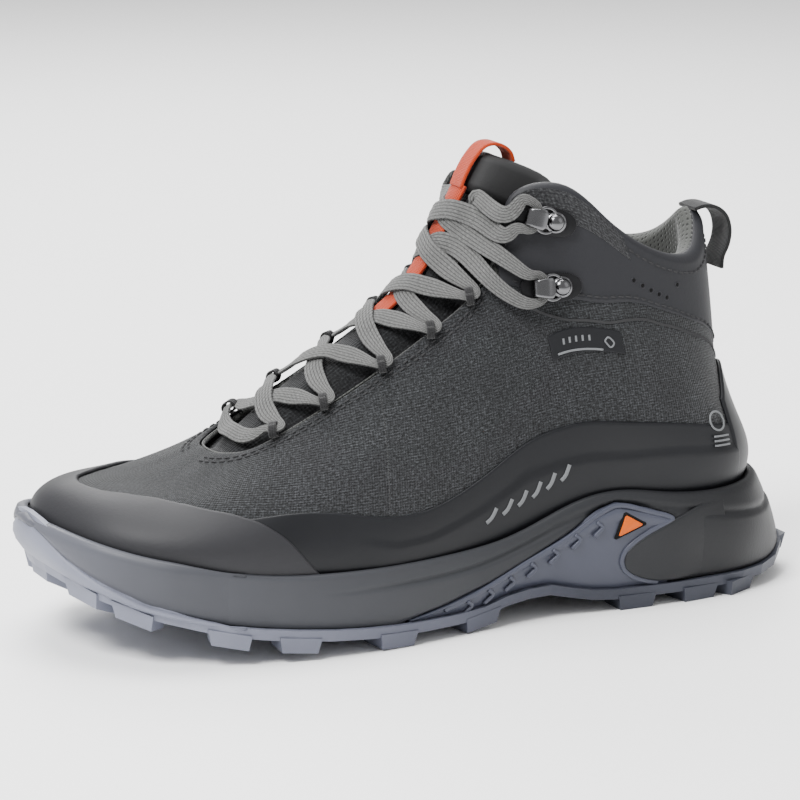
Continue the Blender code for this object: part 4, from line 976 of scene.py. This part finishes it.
def tongue_point(place, across):
    """Points of the tongue's face: place counts TONGUE_LINE's points, across runs from -1 to 1."""
    line = np.array(TONGUE_LINE)
    x, z = along(line[:, 0], place), along(line[:, 1], place)
    ahead = along(line[:, 0], place + 0.05) - along(line[:, 0], place - 0.05)
    rise = along(line[:, 1], place + 0.05) - along(line[:, 1], place - 0.05)
    size = np.hypot(ahead, rise)
    half = along(TONGUE_HALF, place)
    share = np.minimum(np.abs(across) / TONGUE_SHOULDER, 1) ** 2
    beyond = np.maximum(np.abs(across) - TONGUE_SHOULDER, 0)
    back = along(TONGUE_FALL, place) * share ** 2 * (3 - 2 * share) + half * beyond * 0.35
    drop = along(TONGUE_DROP, place)
    return np.stack([x + rise / size * back, half * across, z - ahead / size * back * drop], axis=1)


def tongue(place, across, out=0.0):
    """Points of the tongue's face moved out along its normal."""
    place, across = np.atleast_1d(np.asarray(place, float)), np.asarray(across, float)
    place, across = np.broadcast_arrays(place, across)
    step = 0.03
    along_it = tongue_point(place + step, across) - tongue_point(place - step, across)
    across_it = tongue_point(place, across + step) - tongue_point(place, across - step)
    normal = unit_rows(np.cross(along_it, across_it))
    return tongue_point(place, across) + normal * np.reshape(out, (-1, 1))


def on_tongue(place, y, out):
    """A point over the tongue's face, and the face's normal there."""
    across = y / float(along(TONGUE_HALF, place)[0])
    point = tongue(place, across, out)[0]
    return point, (tongue(place, across, out + 1)[0] - point)


def even_curve(points, steps):
    """Smooth curve through points of any spacing, with a few steps between each two."""
    points = np.asarray(points, float)
    gaps = np.sqrt(np.linalg.norm(np.diff(points[:, :3], axis=0), axis=1))
    speed = np.diff(points, axis=0) / gaps[:, None]
    slope = np.empty_like(points)
    slope[0], slope[-1] = speed[0], speed[-1]
    before, after = gaps[:-1, None], gaps[1:, None]
    slope[1:-1] = (after * speed[:-1] + before * speed[1:]) / (before + after)
    made = []
    for i, gap in enumerate(gaps):
        for t in np.arange(steps) / steps:
            made.append((1 + 2 * t) * (1 - t) ** 2 * points[i] + t * t * (3 - 2 * t) * points[i + 1]
                        + gap * (t * (1 - t) ** 2 * slope[i] + t * t * (t - 1) * slope[i + 1]))
    made.append(points[-1])
    return np.array(made)


def pillow(name, look, start, end, thickness, crown, columns, rows, round_top=0.0, **place):
    """A padded slab of the tongue: both faces meet in soft borders."""
    spans = np.sin(np.linspace(-1, 1, rows) * math.pi / 2)
    shares = fine_steps(columns, 0.08)
    top = end - round_top * np.abs(spans) ** 2.5
    grid_place = start + np.outer(shares, top - start)
    grid_span = np.tile(spans, (len(shares), 1))
    border = np.minimum(np.minimum(shares, 1 - shares)[:, None] * 5, (1 - np.abs(spans))[None, :] * 4)
    half = thickness / 2 * np.sqrt(np.clip(1 - (1 - np.clip(border, 0, 1)) ** 2, 0.02, 1))
    p, s, h = grid_place.ravel(), grid_span.ravel(), half.ravel()
    puff = crown * np.clip(1 - np.abs(s) ** 2, 0, 1) * np.clip(border, 0, 1).ravel()
    shape = (len(shares), rows, 3)
    outer = tongue(p, s, -thickness / 2 + h + puff).reshape(shape)
    inner = tongue(p, s, -thickness / 2 - h).reshape(shape)
    count = shape[0] * shape[1]
    faces = grid_faces(*shape[:2])
    faces += [tuple(count + i for i in reversed(face)) for face in faces]
    for i in range(shape[0] - 1):
        for row in (0, shape[1] - 1):
            a, b = i * rows + row, (i + 1) * rows + row
            side = (b, a, count + a, count + b)
            faces.append(side if row == 0 else side[::-1])
    last = (shape[0] - 1) * rows
    for j in range(rows - 1):
        faces.append((j, j + 1, count + j + 1, count + j))
        faces.append((last + j + 1, last + j, count + last + j, count + last + j + 1))
    uv = arc_uv(outer).reshape(-1, 2)
    made = piece(name, np.concatenate([outer.reshape(-1, 3), inner.reshape(-1, 3)]), faces, look,
                 np.concatenate([uv, uv]), **place)
    return made


def strap(name, rows_of_points, look, thickness, **place):
    """A woven tape: rows of points across it, with softly rounded borders."""
    grid = np.asarray(rows_of_points, float)
    made = sheet_piece(name, grid, look, thickness, **place)
    soft_edges(made, 0.3)
    return made


def tape_rows(line, y, width, steps=6, across=9):
    """Rows of a tape that follows a line of (x, z) points."""
    smooth = even_curve([(x, y, z) for x, z in line], steps)
    sides = np.linspace(0.5, -0.5, across)
    return [[point + (0, width * side, 0) for side in sides] for point in smooth]


def tongue_pieces():
    """The padded tongue and its head, the orange tape with its loop, and the heel's pull loop."""
    last = len(TONGUE_LINE) - 1
    pillow("tongue_pad", "tongue_fabric", TONGUE_START, TONGUE_SEAM - 0.03, thickness=4.4, crown=0.3,
           columns=60, rows=33, stands_for=("tongue_base",), slot="melange_fabric")
    pillow("tongue_head_pad", "head", TONGUE_SEAM + 0.03, last + 0.25, thickness=5.6, crown=1.2,
           columns=34, rows=33, round_top=0.9, body="tongue_head", stands_for=("tongue_head",),
           slot="collar_synthetic")
    face = []
    for place in np.linspace(WEBBING_START, TONGUE_SEAM + 0.22, 50):
        face.append([on_tongue(place, y, WEBBING_LIFT + WEBBING_T)[0]
                     for y in np.linspace(WEBBING_W / 2, -WEBBING_W / 2, 9)])
    strap("tongue_tape", face, "orange", WEBBING_T, stands_for=("tongue_webbing",), slot="orange_webbing")
    strap("tongue_loop_tape", tape_rows(TONGUE_LOOP_LINE, 0, WEBBING_W), "orange", WEBBING_T,
          body="tongue_head", stands_for=("tongue_pull_loop",), slot="orange_webbing")
    strap("heel_loop_tape", tape_rows(HEEL_LOOP_LINE[::-1], y=-1.5, width=13), "black_tape",
          thickness=1.4, stands_for=("heel_pull_loop",), slot="black_webbing")


# ---------------------------------------------------------------- lace and its fittings

LACE_W = 7.5
LACE_TURN_W = 2.4
LACE_T = 1.3
HOOK_W = 6.0
HOOK_T = 0.9
RING_R = 2.8
RING_T = 0.6
RING_FLAT = 0.66
RING_LIFT = (RING_R + RING_T) * RING_FLAT + CLEARANCE
RING_INSET = 1.0
LOOP_W = 2.8            # along the lace
LOOP_STATIONS = [4.75, 5.95, 7.0, 7.9, 8.8]
HOOK_PLACES = [(10.95, 0.785), (11.35, 0.935)]
HOOK_TILT = math.radians(24)
HOOK_LIFT = 1.2         # the curved panel bows under the flat plate
HOOK_LINE = [(-8, HOOK_T), (-2, HOOK_T), (3.6, HOOK_T), (5.8, 2), (6.3, 3.9), (5.3, 5.8), (3, 6.5),
             (0.2, 6.3), (-1.6, 5.6)]      # (toward the throat, out of the panel)
RIVET_BACK = -5.2
# The lace around a hook's neck: toward the throat, along the neck, out of the panel, lace width.
HOOK_TURN = [(8.5, -5.2, 3.1, 4.4), (3.2, -4.2, 3.1, LACE_TURN_W), (1.6, 0, 3.1, LACE_TURN_W),
             (3.2, 4.2, 3.1, LACE_TURN_W), (8.5, 5.4, 3.5, 4.4)]

# Lace: lift of its middle over the tongue, and the extra lift of the strand that crosses over.
LACE_LIFT = 3.1
LACE_STEP = 2.0
HOOK_CROSSING = [6.35, 7.35]     # the tongue's place where the lace crosses to each hook
HOOK_APPROACH = [(-0.35, 9), (-0.17, 4.5), (0, 0), (0.17, -4.5), (0.35, -9)]
# Where it passes over the throat's edge before and after each hook: station, lift.
HOOK_EDGES = [((9.3, 3.6), (9.85, 3.6)), ((10.15, 3.6), (10.5, 4))]
# The lace's end, tucked under its crossings: place on the tongue, side distance, lift.
LACE_END = [(8.4, 7, 3.4), (8.1, 7.8, 1.8), (7.8, 8.4, 1.25), (7.2, 8.8, 1.25), (6.6, 9, 1.25),
            (6.1, 9, 1.25)]


def place_beside(point):
    """The tongue's place and side distance nearest to a point, on that point's side."""
    places = np.repeat(np.linspace(1, TONGUE_SEAM, 120), 30)
    spans = np.tile(np.linspace(0.1, 1, 30), 120) * np.sign(point[1])
    face = tongue(places, spans)
    near = int(np.argmin(np.linalg.norm(face - point, axis=1)))
    return places[near], face[near][1]


def loop_frame(side, station):
    """Centre of a lace loop, the way the lace runs through it and the way out of the upper."""
    edge, out = spot(side * station, 1.0)
    inward = edge - upper(side * station, 0.97)[0]
    inward /= np.linalg.norm(inward)
    way = np.cross(inward, out) * -side_sign(side)
    return edge + inward * RING_INSET + out * RING_LIFT, way, out


def loop_places(side):
    """(place, y) on the tongue beside each loop of one side."""
    return [place_beside(upper(side * station, 1.0)[0]) for station in LOOP_STATIONS]


def side_sign(side):
    """The sign of y on a side: the lateral side (1) lies at -Y."""
    return -1 if side > 0 else 1


def hook_frame(side, u, v):
    """Origin on the collar panel and the directions toward the throat, up and out of a hook."""
    base, out = spot(side * u, v, HOOK_LIFT)
    front = upper(side * (u - 0.1), v, HOOK_LIFT)[0] - base
    front -= out * (front @ out)
    front /= np.linalg.norm(front)
    up = np.cross(front, out) * side_sign(side)
    if up[2] < 0:
        up = -up
    toward = math.cos(HOOK_TILT) * front + math.sin(HOOK_TILT) * up
    rise = math.cos(HOOK_TILT) * up - math.sin(HOOK_TILT) * front
    return base, toward, rise, out


def lace_crossing(lower, upper_end, lift):
    """The lace from a loop of one side to the next one of the other side, over the tongue."""
    made = []
    for part in (0.2, 0.35, 0.5, 0.65, 0.8):
        place = lower[0] + (upper_end[0] - lower[0]) * part
        y = lower[1] + (upper_end[1] - lower[1]) * part
        rise = LACE_LIFT + (lift - LACE_LIFT) * (1 - abs(part - 0.5) * 2)
        made.append((*on_tongue(place, y, rise), LACE_W * (1 - abs(part - 0.5) * 0.25)))
    return made


def through_loop(side, station):
    """The lace's way through one loop, bottom to top."""
    centre, way, out = loop_frame(side, station)
    beside = np.cross(way, out) * -side_sign(side)
    inward = beside * math.copysign(1, -beside[1] * side_sign(side))
    steps = ((-2.6, 0.9), (0, 0), (2.6, 0.9))
    return [(centre + way * step + inward * back, out, LACE_TURN_W + back) for step, back in steps]


def over_edge(side, station, lift):
    """A point of the lace where it passes over the throat's edge."""
    return (*spot(side * station, 0.985, lift), LACE_W * 0.85)


def around_hook(side, u, v, edges):
    """The lace's way over the throat's edge, behind a hook's neck and back."""
    base, toward, rise, out = hook_frame(side, u, v)
    made = [over_edge(side, *edges[0])]
    for a, t, n, width in HOOK_TURN:
        made.append((base + toward * a + rise * t + out * n, out, width))
    return made + [over_edge(side, *edges[1])]


def lace_half(side, over):
    """Half of the lace, from the bottom loop of a side up to its tucked end."""
    beside = {1: loop_places(1), -1: loop_places(-1)}
    route = []
    at = side
    lift = LACE_LIFT + (LACE_STEP if over else 0)
    for level, station in enumerate(LOOP_STATIONS):
        route += through_loop(at, station)
        if level + 1 < len(LOOP_STATIONS):
            route += lace_crossing(beside[at][level], beside[-at][level + 1], lift)
            at = -at
    for count, (u, v) in enumerate(HOOK_PLACES):
        before = -at
        place = HOOK_CROSSING[count]
        for share, y in HOOK_APPROACH:
            rise = LACE_LIFT + (lift - LACE_LIFT) * (1 - abs(y) / 18) + 0.25 * max(abs(y) - 9, 0)
            route.append((*on_tongue(place + share, side_sign(at) * y, rise), LACE_W))
        route += around_hook(before, u, v, HOOK_EDGES[count])
        at = before
    for place, y, lift in LACE_END:
        route.append((*on_tongue(place, side_sign(at) * y, lift), LACE_W * 0.8))
    return route


def relaxed(points, held, rounds=60, pull=0.5):
    """Points of a lace drawn tight between the places that hold it: held is 1 there, 0 between."""
    made = points.copy()
    free = (1 - held)[:, None]
    for _ in range(rounds):
        middle = (made[:-2] + made[2:]) / 2
        made[1:-1] += (middle - made[1:-1]) * pull * free[1:-1]
    return made


def tube(name, points, normals, widths, height, look, ribs=0, **place):
    """A flat oval tube along a path, ribbed along its length; widths is one number or one a point."""
    widths = np.broadcast_to(widths, len(points))
    way = unit_rows(np.gradient(points, axis=0))
    beside = unit_rows(np.cross(normals, way))
    up = np.cross(way, beside)
    around = full_turn(36)
    across = np.sign(np.cos(around)) * np.abs(np.cos(around)) ** 0.8
    lift = np.sign(np.sin(around)) * np.abs(np.sin(around)) ** 0.6
    relief = 1 + 0.16 * np.cos(across * math.pi * ribs) if ribs else np.ones(36)
    grid = (points[:, None] + beside[:, None] * (across[None, :, None] * widths[:, None, None] / 2)
            + up[:, None] * (lift * relief)[None, :, None] * height / 2)
    length = travelled(points) / 10
    uv = np.stack([np.broadcast_to(across * 0.375, grid.shape[:2]),
                   np.broadcast_to(length[:, None], grid.shape[:2])], axis=2)
    count, sides = grid.shape[:2]
    faces = []
    for i in range(count - 1):
        for j in range(sides):
            k = (j + 1) % sides
            faces.append((i * sides + j, i * sides + k, (i + 1) * sides + k, (i + 1) * sides + j))
    faces.append(tuple(range(sides))[::-1])
    faces.append(tuple((count - 1) * sides + j for j in range(sides)))
    return piece(name, grid.reshape(-1, 3), faces, look, uv.reshape(-1, 2), **place)


def lace_piece():
    """The flat ribbed lace along its whole route."""
    first = lace_half(1, True)
    second = lace_half(-1, False)
    place = (loop_places(1)[0][0] + loop_places(-1)[0][0]) / 2
    bar = [(*on_tongue(place - 0.33, y, LACE_LIFT), LACE_W * 0.85) for y in (-9, 0, 9)]
    route = first[::-1] + bar + second
    table = np.array([[*point, *normal, width] for point, normal, width in route])
    smooth = even_curve(table, 9)
    points, normals, widths = smooth[:, :3], unit_rows(smooth[:, 3:6]), smooth[:, 6]
    held = np.clip((LACE_W - widths) / 2.5, 0, 1)
    tight = relaxed(points, held)
    sunk = np.minimum(np.sum((tight - points) * normals, axis=1), 0)[:, None]
    points = tight - normals * sunk
    return tube("lace_cord", points, normals, np.maximum(widths, 3.4), LACE_T + 0.2, "lace", LACE_RIBS,
                stands_for=("lace",), slot="grey_lace")


def loop_pieces():
    """Webbing loops that hold the lace at the throat's edge."""
    for side, word in SIDES:
        for count, station in enumerate(LOOP_STATIONS, 1):
            centre, way, out = loop_frame(side, station)
            side_way = np.cross(way, out)
            rows = []
            for turn in full_turn(32):
                rim = centre + out * math.cos(turn) * (RING_R + RING_T) * RING_FLAT + (
                    side_way * math.sin(turn) * (RING_R + RING_T))
                rows.append([rim + way * step for step in np.linspace(-LOOP_W / 2, LOOP_W / 2, 6)])
            sheet_piece(f"loop_{word}_{count}", np.array(rows), "black_tape", RING_T, closed=True,
                        stands_for=(f"lace_loop_{word}_{count}",), slot="black_webbing")


def turned(name, profile, centre, out, look, sides=28, **place):
    """A round piece from (radius, height) points, standing on a surface."""
    centre, out = np.asarray(centre), np.asarray(out) / np.linalg.norm(out)
    first = np.cross(out, (0, 0, 1))
    first /= np.linalg.norm(first)
    second = np.cross(out, first)
    rings = []
    for turn in full_turn(sides):
        ray = first * math.cos(turn) + second * math.sin(turn)
        rings.append([centre + ray * r + out * h for r, h in profile])
    made = piece(name, np.array(rings).reshape(-1, 3), grid_faces(sides, len(profile), True), look, **place)
    fill = bmesh.new()
    fill.from_mesh(made.data)
    bmesh.ops.remove_doubles(fill, verts=fill.verts, dist=1e-6)
    bmesh.ops.holes_fill(fill, edges=fill.edges)
    bmesh.ops.recalc_face_normals(fill, faces=fill.faces)
    fill.to_mesh(made.data)
    fill.free()
    made.data.shade_smooth()
    return made


def slab_piece(name, outline, thickness, centre, first, second, look, bevel=0.3, **place):
    """A flat plate with rounded borders from an outline in its own plane."""
    points = [centre + first * x + second * y for x, y in outline]
    made = piece(name, points, [tuple(range(len(points)))], look, **place)
    thicken(made, thickness, 0)
    soft_edges(made, bevel, 3)
    return made


def oval(length, width, count=28, power=0.75, shift=0.0):
    """Outline of a rounded plate."""
    made = []
    for turn in full_turn(count):
        c, s = math.cos(turn), math.sin(turn)
        made.append((shift + math.copysign(abs(c) ** power, c) * length / 2,
                     math.copysign(abs(s) ** power, s) * width / 2))
    return made


PLATE_SIZE = (23, 10.5)     # hook's base plate
WIRE_T = 1.1                # wire ring beside each rivet
WIRE_R = (4.2, 4.6)
# Rivet's head as (radius, height).
RIVET_DOME = [(3.9, 0), (4.0, 0.35), (3.7, 0.65), (3.2, 0.75), (3.0, 1.2), (2.5, 1.9), (1.7, 2.4),
              (0.8, 2.65), (0.0, 2.7)]


def hook_pieces():
    """Speed hooks: base plate, bent hook, wire ring and domed rivet."""
    for side, word in SIDES:
        for count, (u, v) in enumerate(HOOK_PLACES, 1):
            base, toward, rise, out = hook_frame(side, u, v)
            tag = f"{word}_{count}"
            slab_piece(f"hook_plate_{tag}", oval(*PLATE_SIZE, shift=-1.5), HOOK_T, base + out * 0.1, toward,
                       rise, "dark_metal", slot="gunmetal")
            line = even_curve([(a, n, 0) for a, n in HOOK_LINE], 6)[:, :2]
            shares = np.linspace(0, 1, len(line))
            face = []
            for (a, n), share in zip(line, shares):
                half = HOOK_W / 2 * (1 + 0.25 * smoothstep((share - 0.6) / 0.3)
                                     - 0.35 * smoothstep((share - 0.9) / 0.1))
                middle = base + toward * a + out * n
                face.append([middle + rise * half * s for s in np.linspace(-1, 1, 7)])
            if side < 0:
                face = [row[::-1] for row in face]
            strap(f"hook_bent_{tag}", face, "metal", HOOK_T, stands_for=(f"hook_{tag}",), slot="gunmetal")
            wire = []
            for turn in np.linspace(-0.75 * math.pi, 0.75 * math.pi, 25):
                wire.append(base + toward * (-1.6 + WIRE_R[0] * math.cos(turn))
                            + rise * WIRE_R[1] * math.sin(turn) + out * (1.6 + 0.5 * math.cos(turn)))
            tube(f"hook_ring_{tag}", np.array(wire), out, WIRE_T, WIRE_T, "metal", slot="gunmetal")
            foot = base + toward * RIVET_BACK + out * (HOOK_T + 0.2)
            turned(f"rivet_dome_{tag}", RIVET_DOME, foot, out, "metal", stands_for=(f"rivet_{tag}",),
                   slot="gunmetal")


# ---------------------------------------------------------------- stitching and small trim

def even_path(points, step):
    """Points every step millimetres along a path."""
    points = np.asarray(points, float)
    length = travelled(points[:, :3])
    places = np.arange(0, length[-1], step)
    return np.stack([np.interp(places, length, points[:, k]) for k in range(points.shape[1])], axis=1)


def stitches(name, path, look="thread_and_shadow", length=2.3, gap=0.9, radius=0.32, body="boot"):
    """A row of stitches: path holds a point and the way out of the surface for each place."""
    row = even_path(path, (length + gap) / 2)
    points, faces = [], []
    sides, rings = 6, ((-0.5, 0.35), (-0.35, 0.9), (0.0, 1.0), (0.35, 0.9), (0.5, 0.35))
    for i in range(1, len(row) - 1, 2):
        way = row[i + 1, :3] - row[i - 1, :3]
        way /= np.linalg.norm(way)
        out = row[i, 3:] / np.linalg.norm(row[i, 3:])
        beside = np.cross(out, way)
        first = len(points)
        for place, wide in rings:
            for k in range(sides):
                turn = 2 * math.pi * k / sides
                sunk = -0.15 if abs(place) > 0.4 else 0.12
                points.append(row[i, :3] + way * place * length + out * sunk
                              + (beside * math.cos(turn) * 1.25 + out * math.sin(turn)) * radius * wide)
        for r in range(len(rings) - 1):
            for k in range(sides):
                a, b = first + r * sides + k, first + r * sides + (k + 1) % sides
                faces.append((a, b, b + sides, a + sides))
        faces.append(tuple(first + k for k in range(sides))[::-1])
        faces.append(tuple(first + (len(rings) - 1) * sides + k for k in range(sides)))
    return piece(name, points, faces, look, body=body)


def seam_path(start, end, height, lift, count=120):
    """Path for stitches along a seam of the upper."""
    u = np.linspace(start, end, count)
    return np.concatenate(raised(u, height(u), lift), axis=1)


def stitching():
    """Rows of stitches along the throat and the collar."""
    for side, word in SIDES:
        stitches(f"throat_stitches_{word}", seam_path(side * 1.2, side * 9.4, constant(0.965), 0.1))
        stitches(f"throat_stitches_inner_{word}", seam_path(side * 1.2, side * 9.3, constant(0.945), 0.1))
        stitches(f"collar_stitches_{word}",
                 seam_path(side * 10, side * 16.9, smooth_seam(COLLAR_SEAM, 0.02, 0.25), 0.35))
        stitches(f"collar_edge_stitches_{word}",
                 seam_path(side * 9.95, side * 16.9, constant(0.965), 0.3))


# A row of five vents along the collar panel and one apart, as (station, v).
VENTS = [(13 + 0.22 * count, 0.862) for count in range(5)] + [(14.3, 0.92)]
# A vent's rim and its dark hole, a near-black disc of painted shade, as (radius, height).
VENT_RIM = [(0, 0.12), (0.7, 0.12), (0.8, 0.3), (1.0, 0.34), (1.2, 0.2), (1.3, 0.0)]
VENT_HOLE = [(0, 0.2), (0.65, 0.2), (0.75, 0.1)]
# A rising row of slanted dashes on the side film, as (station, v).
FILM_DROPS = [(8.75 + 0.35 * count, 0.222 + 0.009 * count) for count in range(6)]


def vents():
    """Small punched holes in the collar panels; each hole is a near-black disc of painted shade."""
    for side, word in SIDES:
        for count, (u, v) in enumerate(VENTS, 1):
            point, out = spot(side * u, v)
            centre = point + out * 0.15
            turned(f"vent_rim_{word}_{count}", VENT_RIM, centre, out, "collar", 20)
            # the hole's near-black disc is painted shade where the hole goes into the boot
            turned(f"vent_hole_{word}_{count}", VENT_HOLE, centre, out, "hole", 20)


def mark_line(name, points, side=1, lift=0.35, width=0.8, look="mark"):
    """A thin raised line on the upper through (u, v) places."""
    line = even_curve([(side * u, v, 0) for u, v in points], 8)
    base, out = raised(line[:, 0], line[:, 1], lift)
    return tube(name, base, out, width, 0.5, look)


def marks():
    """Plain generic marks where the boot has trim, and a painted shadow line along the quarter panel's top
    edge.
    """
    patch("label_tab", "film", 10.6, 12.3, constant(0.6), constant(0.67), out=0.5, columns=24,
          rows=8, edge=0.4)
    mark_line("label_line", [(10.75, 0.612), (11.3, 0.609), (11.8, 0.606)], lift=0.6)
    for count, u in enumerate((10.95, 11.1, 11.25, 11.4, 11.55), 1):
        mark_line(f"label_tick_{count}", [(u, 0.632), (u + 0.01, 0.64), (u + 0.02, 0.648)], lift=0.6)
    mark_line("label_diamond", [(11.88, 0.632), (11.98, 0.645), (12.08, 0.63), (11.98, 0.615),
                                (11.88, 0.632)], lift=0.6, width=0.6)
    for side, word in SIDES:
        for count, (u, v) in enumerate(FILM_DROPS, 1):
            mark_line(f"film_drop_{word}_{count}", [(u - 0.09, v - 0.022), (u + 0.02, v - 0.008),
                                                    (u + 0.12, v + 0.022)], side, 1.85, 1.5)
        ring = [(14.5 + 0.26 * math.cos(turn), 0.395 + 0.04 * math.sin(turn))
                for turn in np.linspace(0, 2 * math.pi, 13)]
        mark_line(f"heel_ring_{word}", ring, side, 1.1)
        for count, v in enumerate((0.29, 0.31, 0.33), 1):
            mark_line(f"heel_bar_{word}_{count}", [(14.25, v), (14.5, v), (14.75, v)], side, 1.75, 0.7)
        # a dark cord just under the collar seam stands for the quarter panel's top edge; its dark colour is
        # that edge's painted shadow
        edge_shadow_line = [(u, float(seam(COLLAR_SEAM, u)) - 0.05) for u in np.linspace(10.3, 16.6, 15)]
        mark_line(f"collar_edge_shadow_{word}", edge_shadow_line, side, 0.1, 1.0, "thread_and_shadow")
        patch(f"collar_band_{word}", "band", *span(side, 10.9, 13.1), constant(0.93), constant(1.0), out=0.7,
              columns=50, rows=10, edge=0.4, borders="start end low")


# ---------------------------------------------------------------- stage

CAMERA_AZIMUTH = math.radians(-25)      # from straight ahead of the lateral side
CAMERA_ELEVATION = math.radians(13)
CAMERA_DISTANCE = 1.4                   # metres
CAMERA_LENS = 173.25
CAMERA_TARGET = Vector((-0.0085, 0.0, 0.0770))
FLOOR_HALF = 6
SKY = 0.7
# Area lights: name, place and size in metres, power in watts.
LIGHTS = [("key", (-0.9, -0.5, 1.3), 0.6, 44), ("fill", (0.9, -1.0, 0.7), 1.0, 3),
          ("top", (0.0, 0.3, 1.5), 0.9, 30), ("back", (0.3, 1.2, 1.0), 0.8, 20)]


def look_at(place, target):
    return (Vector(target) - Vector(place)).to_track_quat("-Z", "Y").to_euler()


def stage():
    """Pale floor, soft lights and the camera."""
    mesh = bpy.data.meshes.new("floor")
    corners = [(a * FLOOR_HALF, b * FLOOR_HALF, 0) for a, b in ((-1, -1), (1, -1), (1, 1), (-1, 1))]
    mesh.from_pydata(corners, [], [(0, 1, 2, 3)])
    floor = bpy.data.objects.new("floor", mesh)
    bpy.context.scene.collection.objects.link(floor)
    paint, tree = new_material("pale_floor")
    finish_material(tree, (0.95, 0.95, 0.95), 0.7)
    mesh.materials.append(paint)
    world = bpy.data.worlds.new("studio")
    world.use_nodes = True
    world.node_tree.nodes["Background"].inputs["Color"].default_value = (1.0, 1.0, 1.0, 1)
    world.node_tree.nodes["Background"].inputs["Strength"].default_value = SKY
    bpy.context.scene.world = world
    for name, place, width, power in LIGHTS:
        light = bpy.data.lights.new(name, "AREA")
        light.energy = power
        light.size = width
        made = bpy.data.objects.new(name, light)
        made.location = place
        made.rotation_euler = look_at(place, (0, 0, 0.07))
        bpy.context.scene.collection.objects.link(made)
    camera = bpy.data.cameras.new("camera")
    camera.lens = CAMERA_LENS
    camera.sensor_width = 36
    made = bpy.data.objects.new("camera", camera)
    across = math.cos(CAMERA_ELEVATION)
    back = Vector((math.sin(CAMERA_AZIMUTH) * across, -math.cos(CAMERA_AZIMUTH) * across,
                   math.sin(CAMERA_ELEVATION)))
    made.location = CAMERA_TARGET + back * CAMERA_DISTANCE
    made.rotation_euler = look_at(made.location, CAMERA_TARGET)
    bpy.context.scene.collection.objects.link(made)
    bpy.context.scene.camera = made


stage()
carried_over()
upper_pieces()
overlay_pieces()
midsole_piece()
stabiliser_piece()
footbed_piece()
sole_trim()
toe_bumper()
tongue_pieces()
throat_gusset()
lace_piece()
loop_pieces()
hook_pieces()
stitching()
vents()
marks()
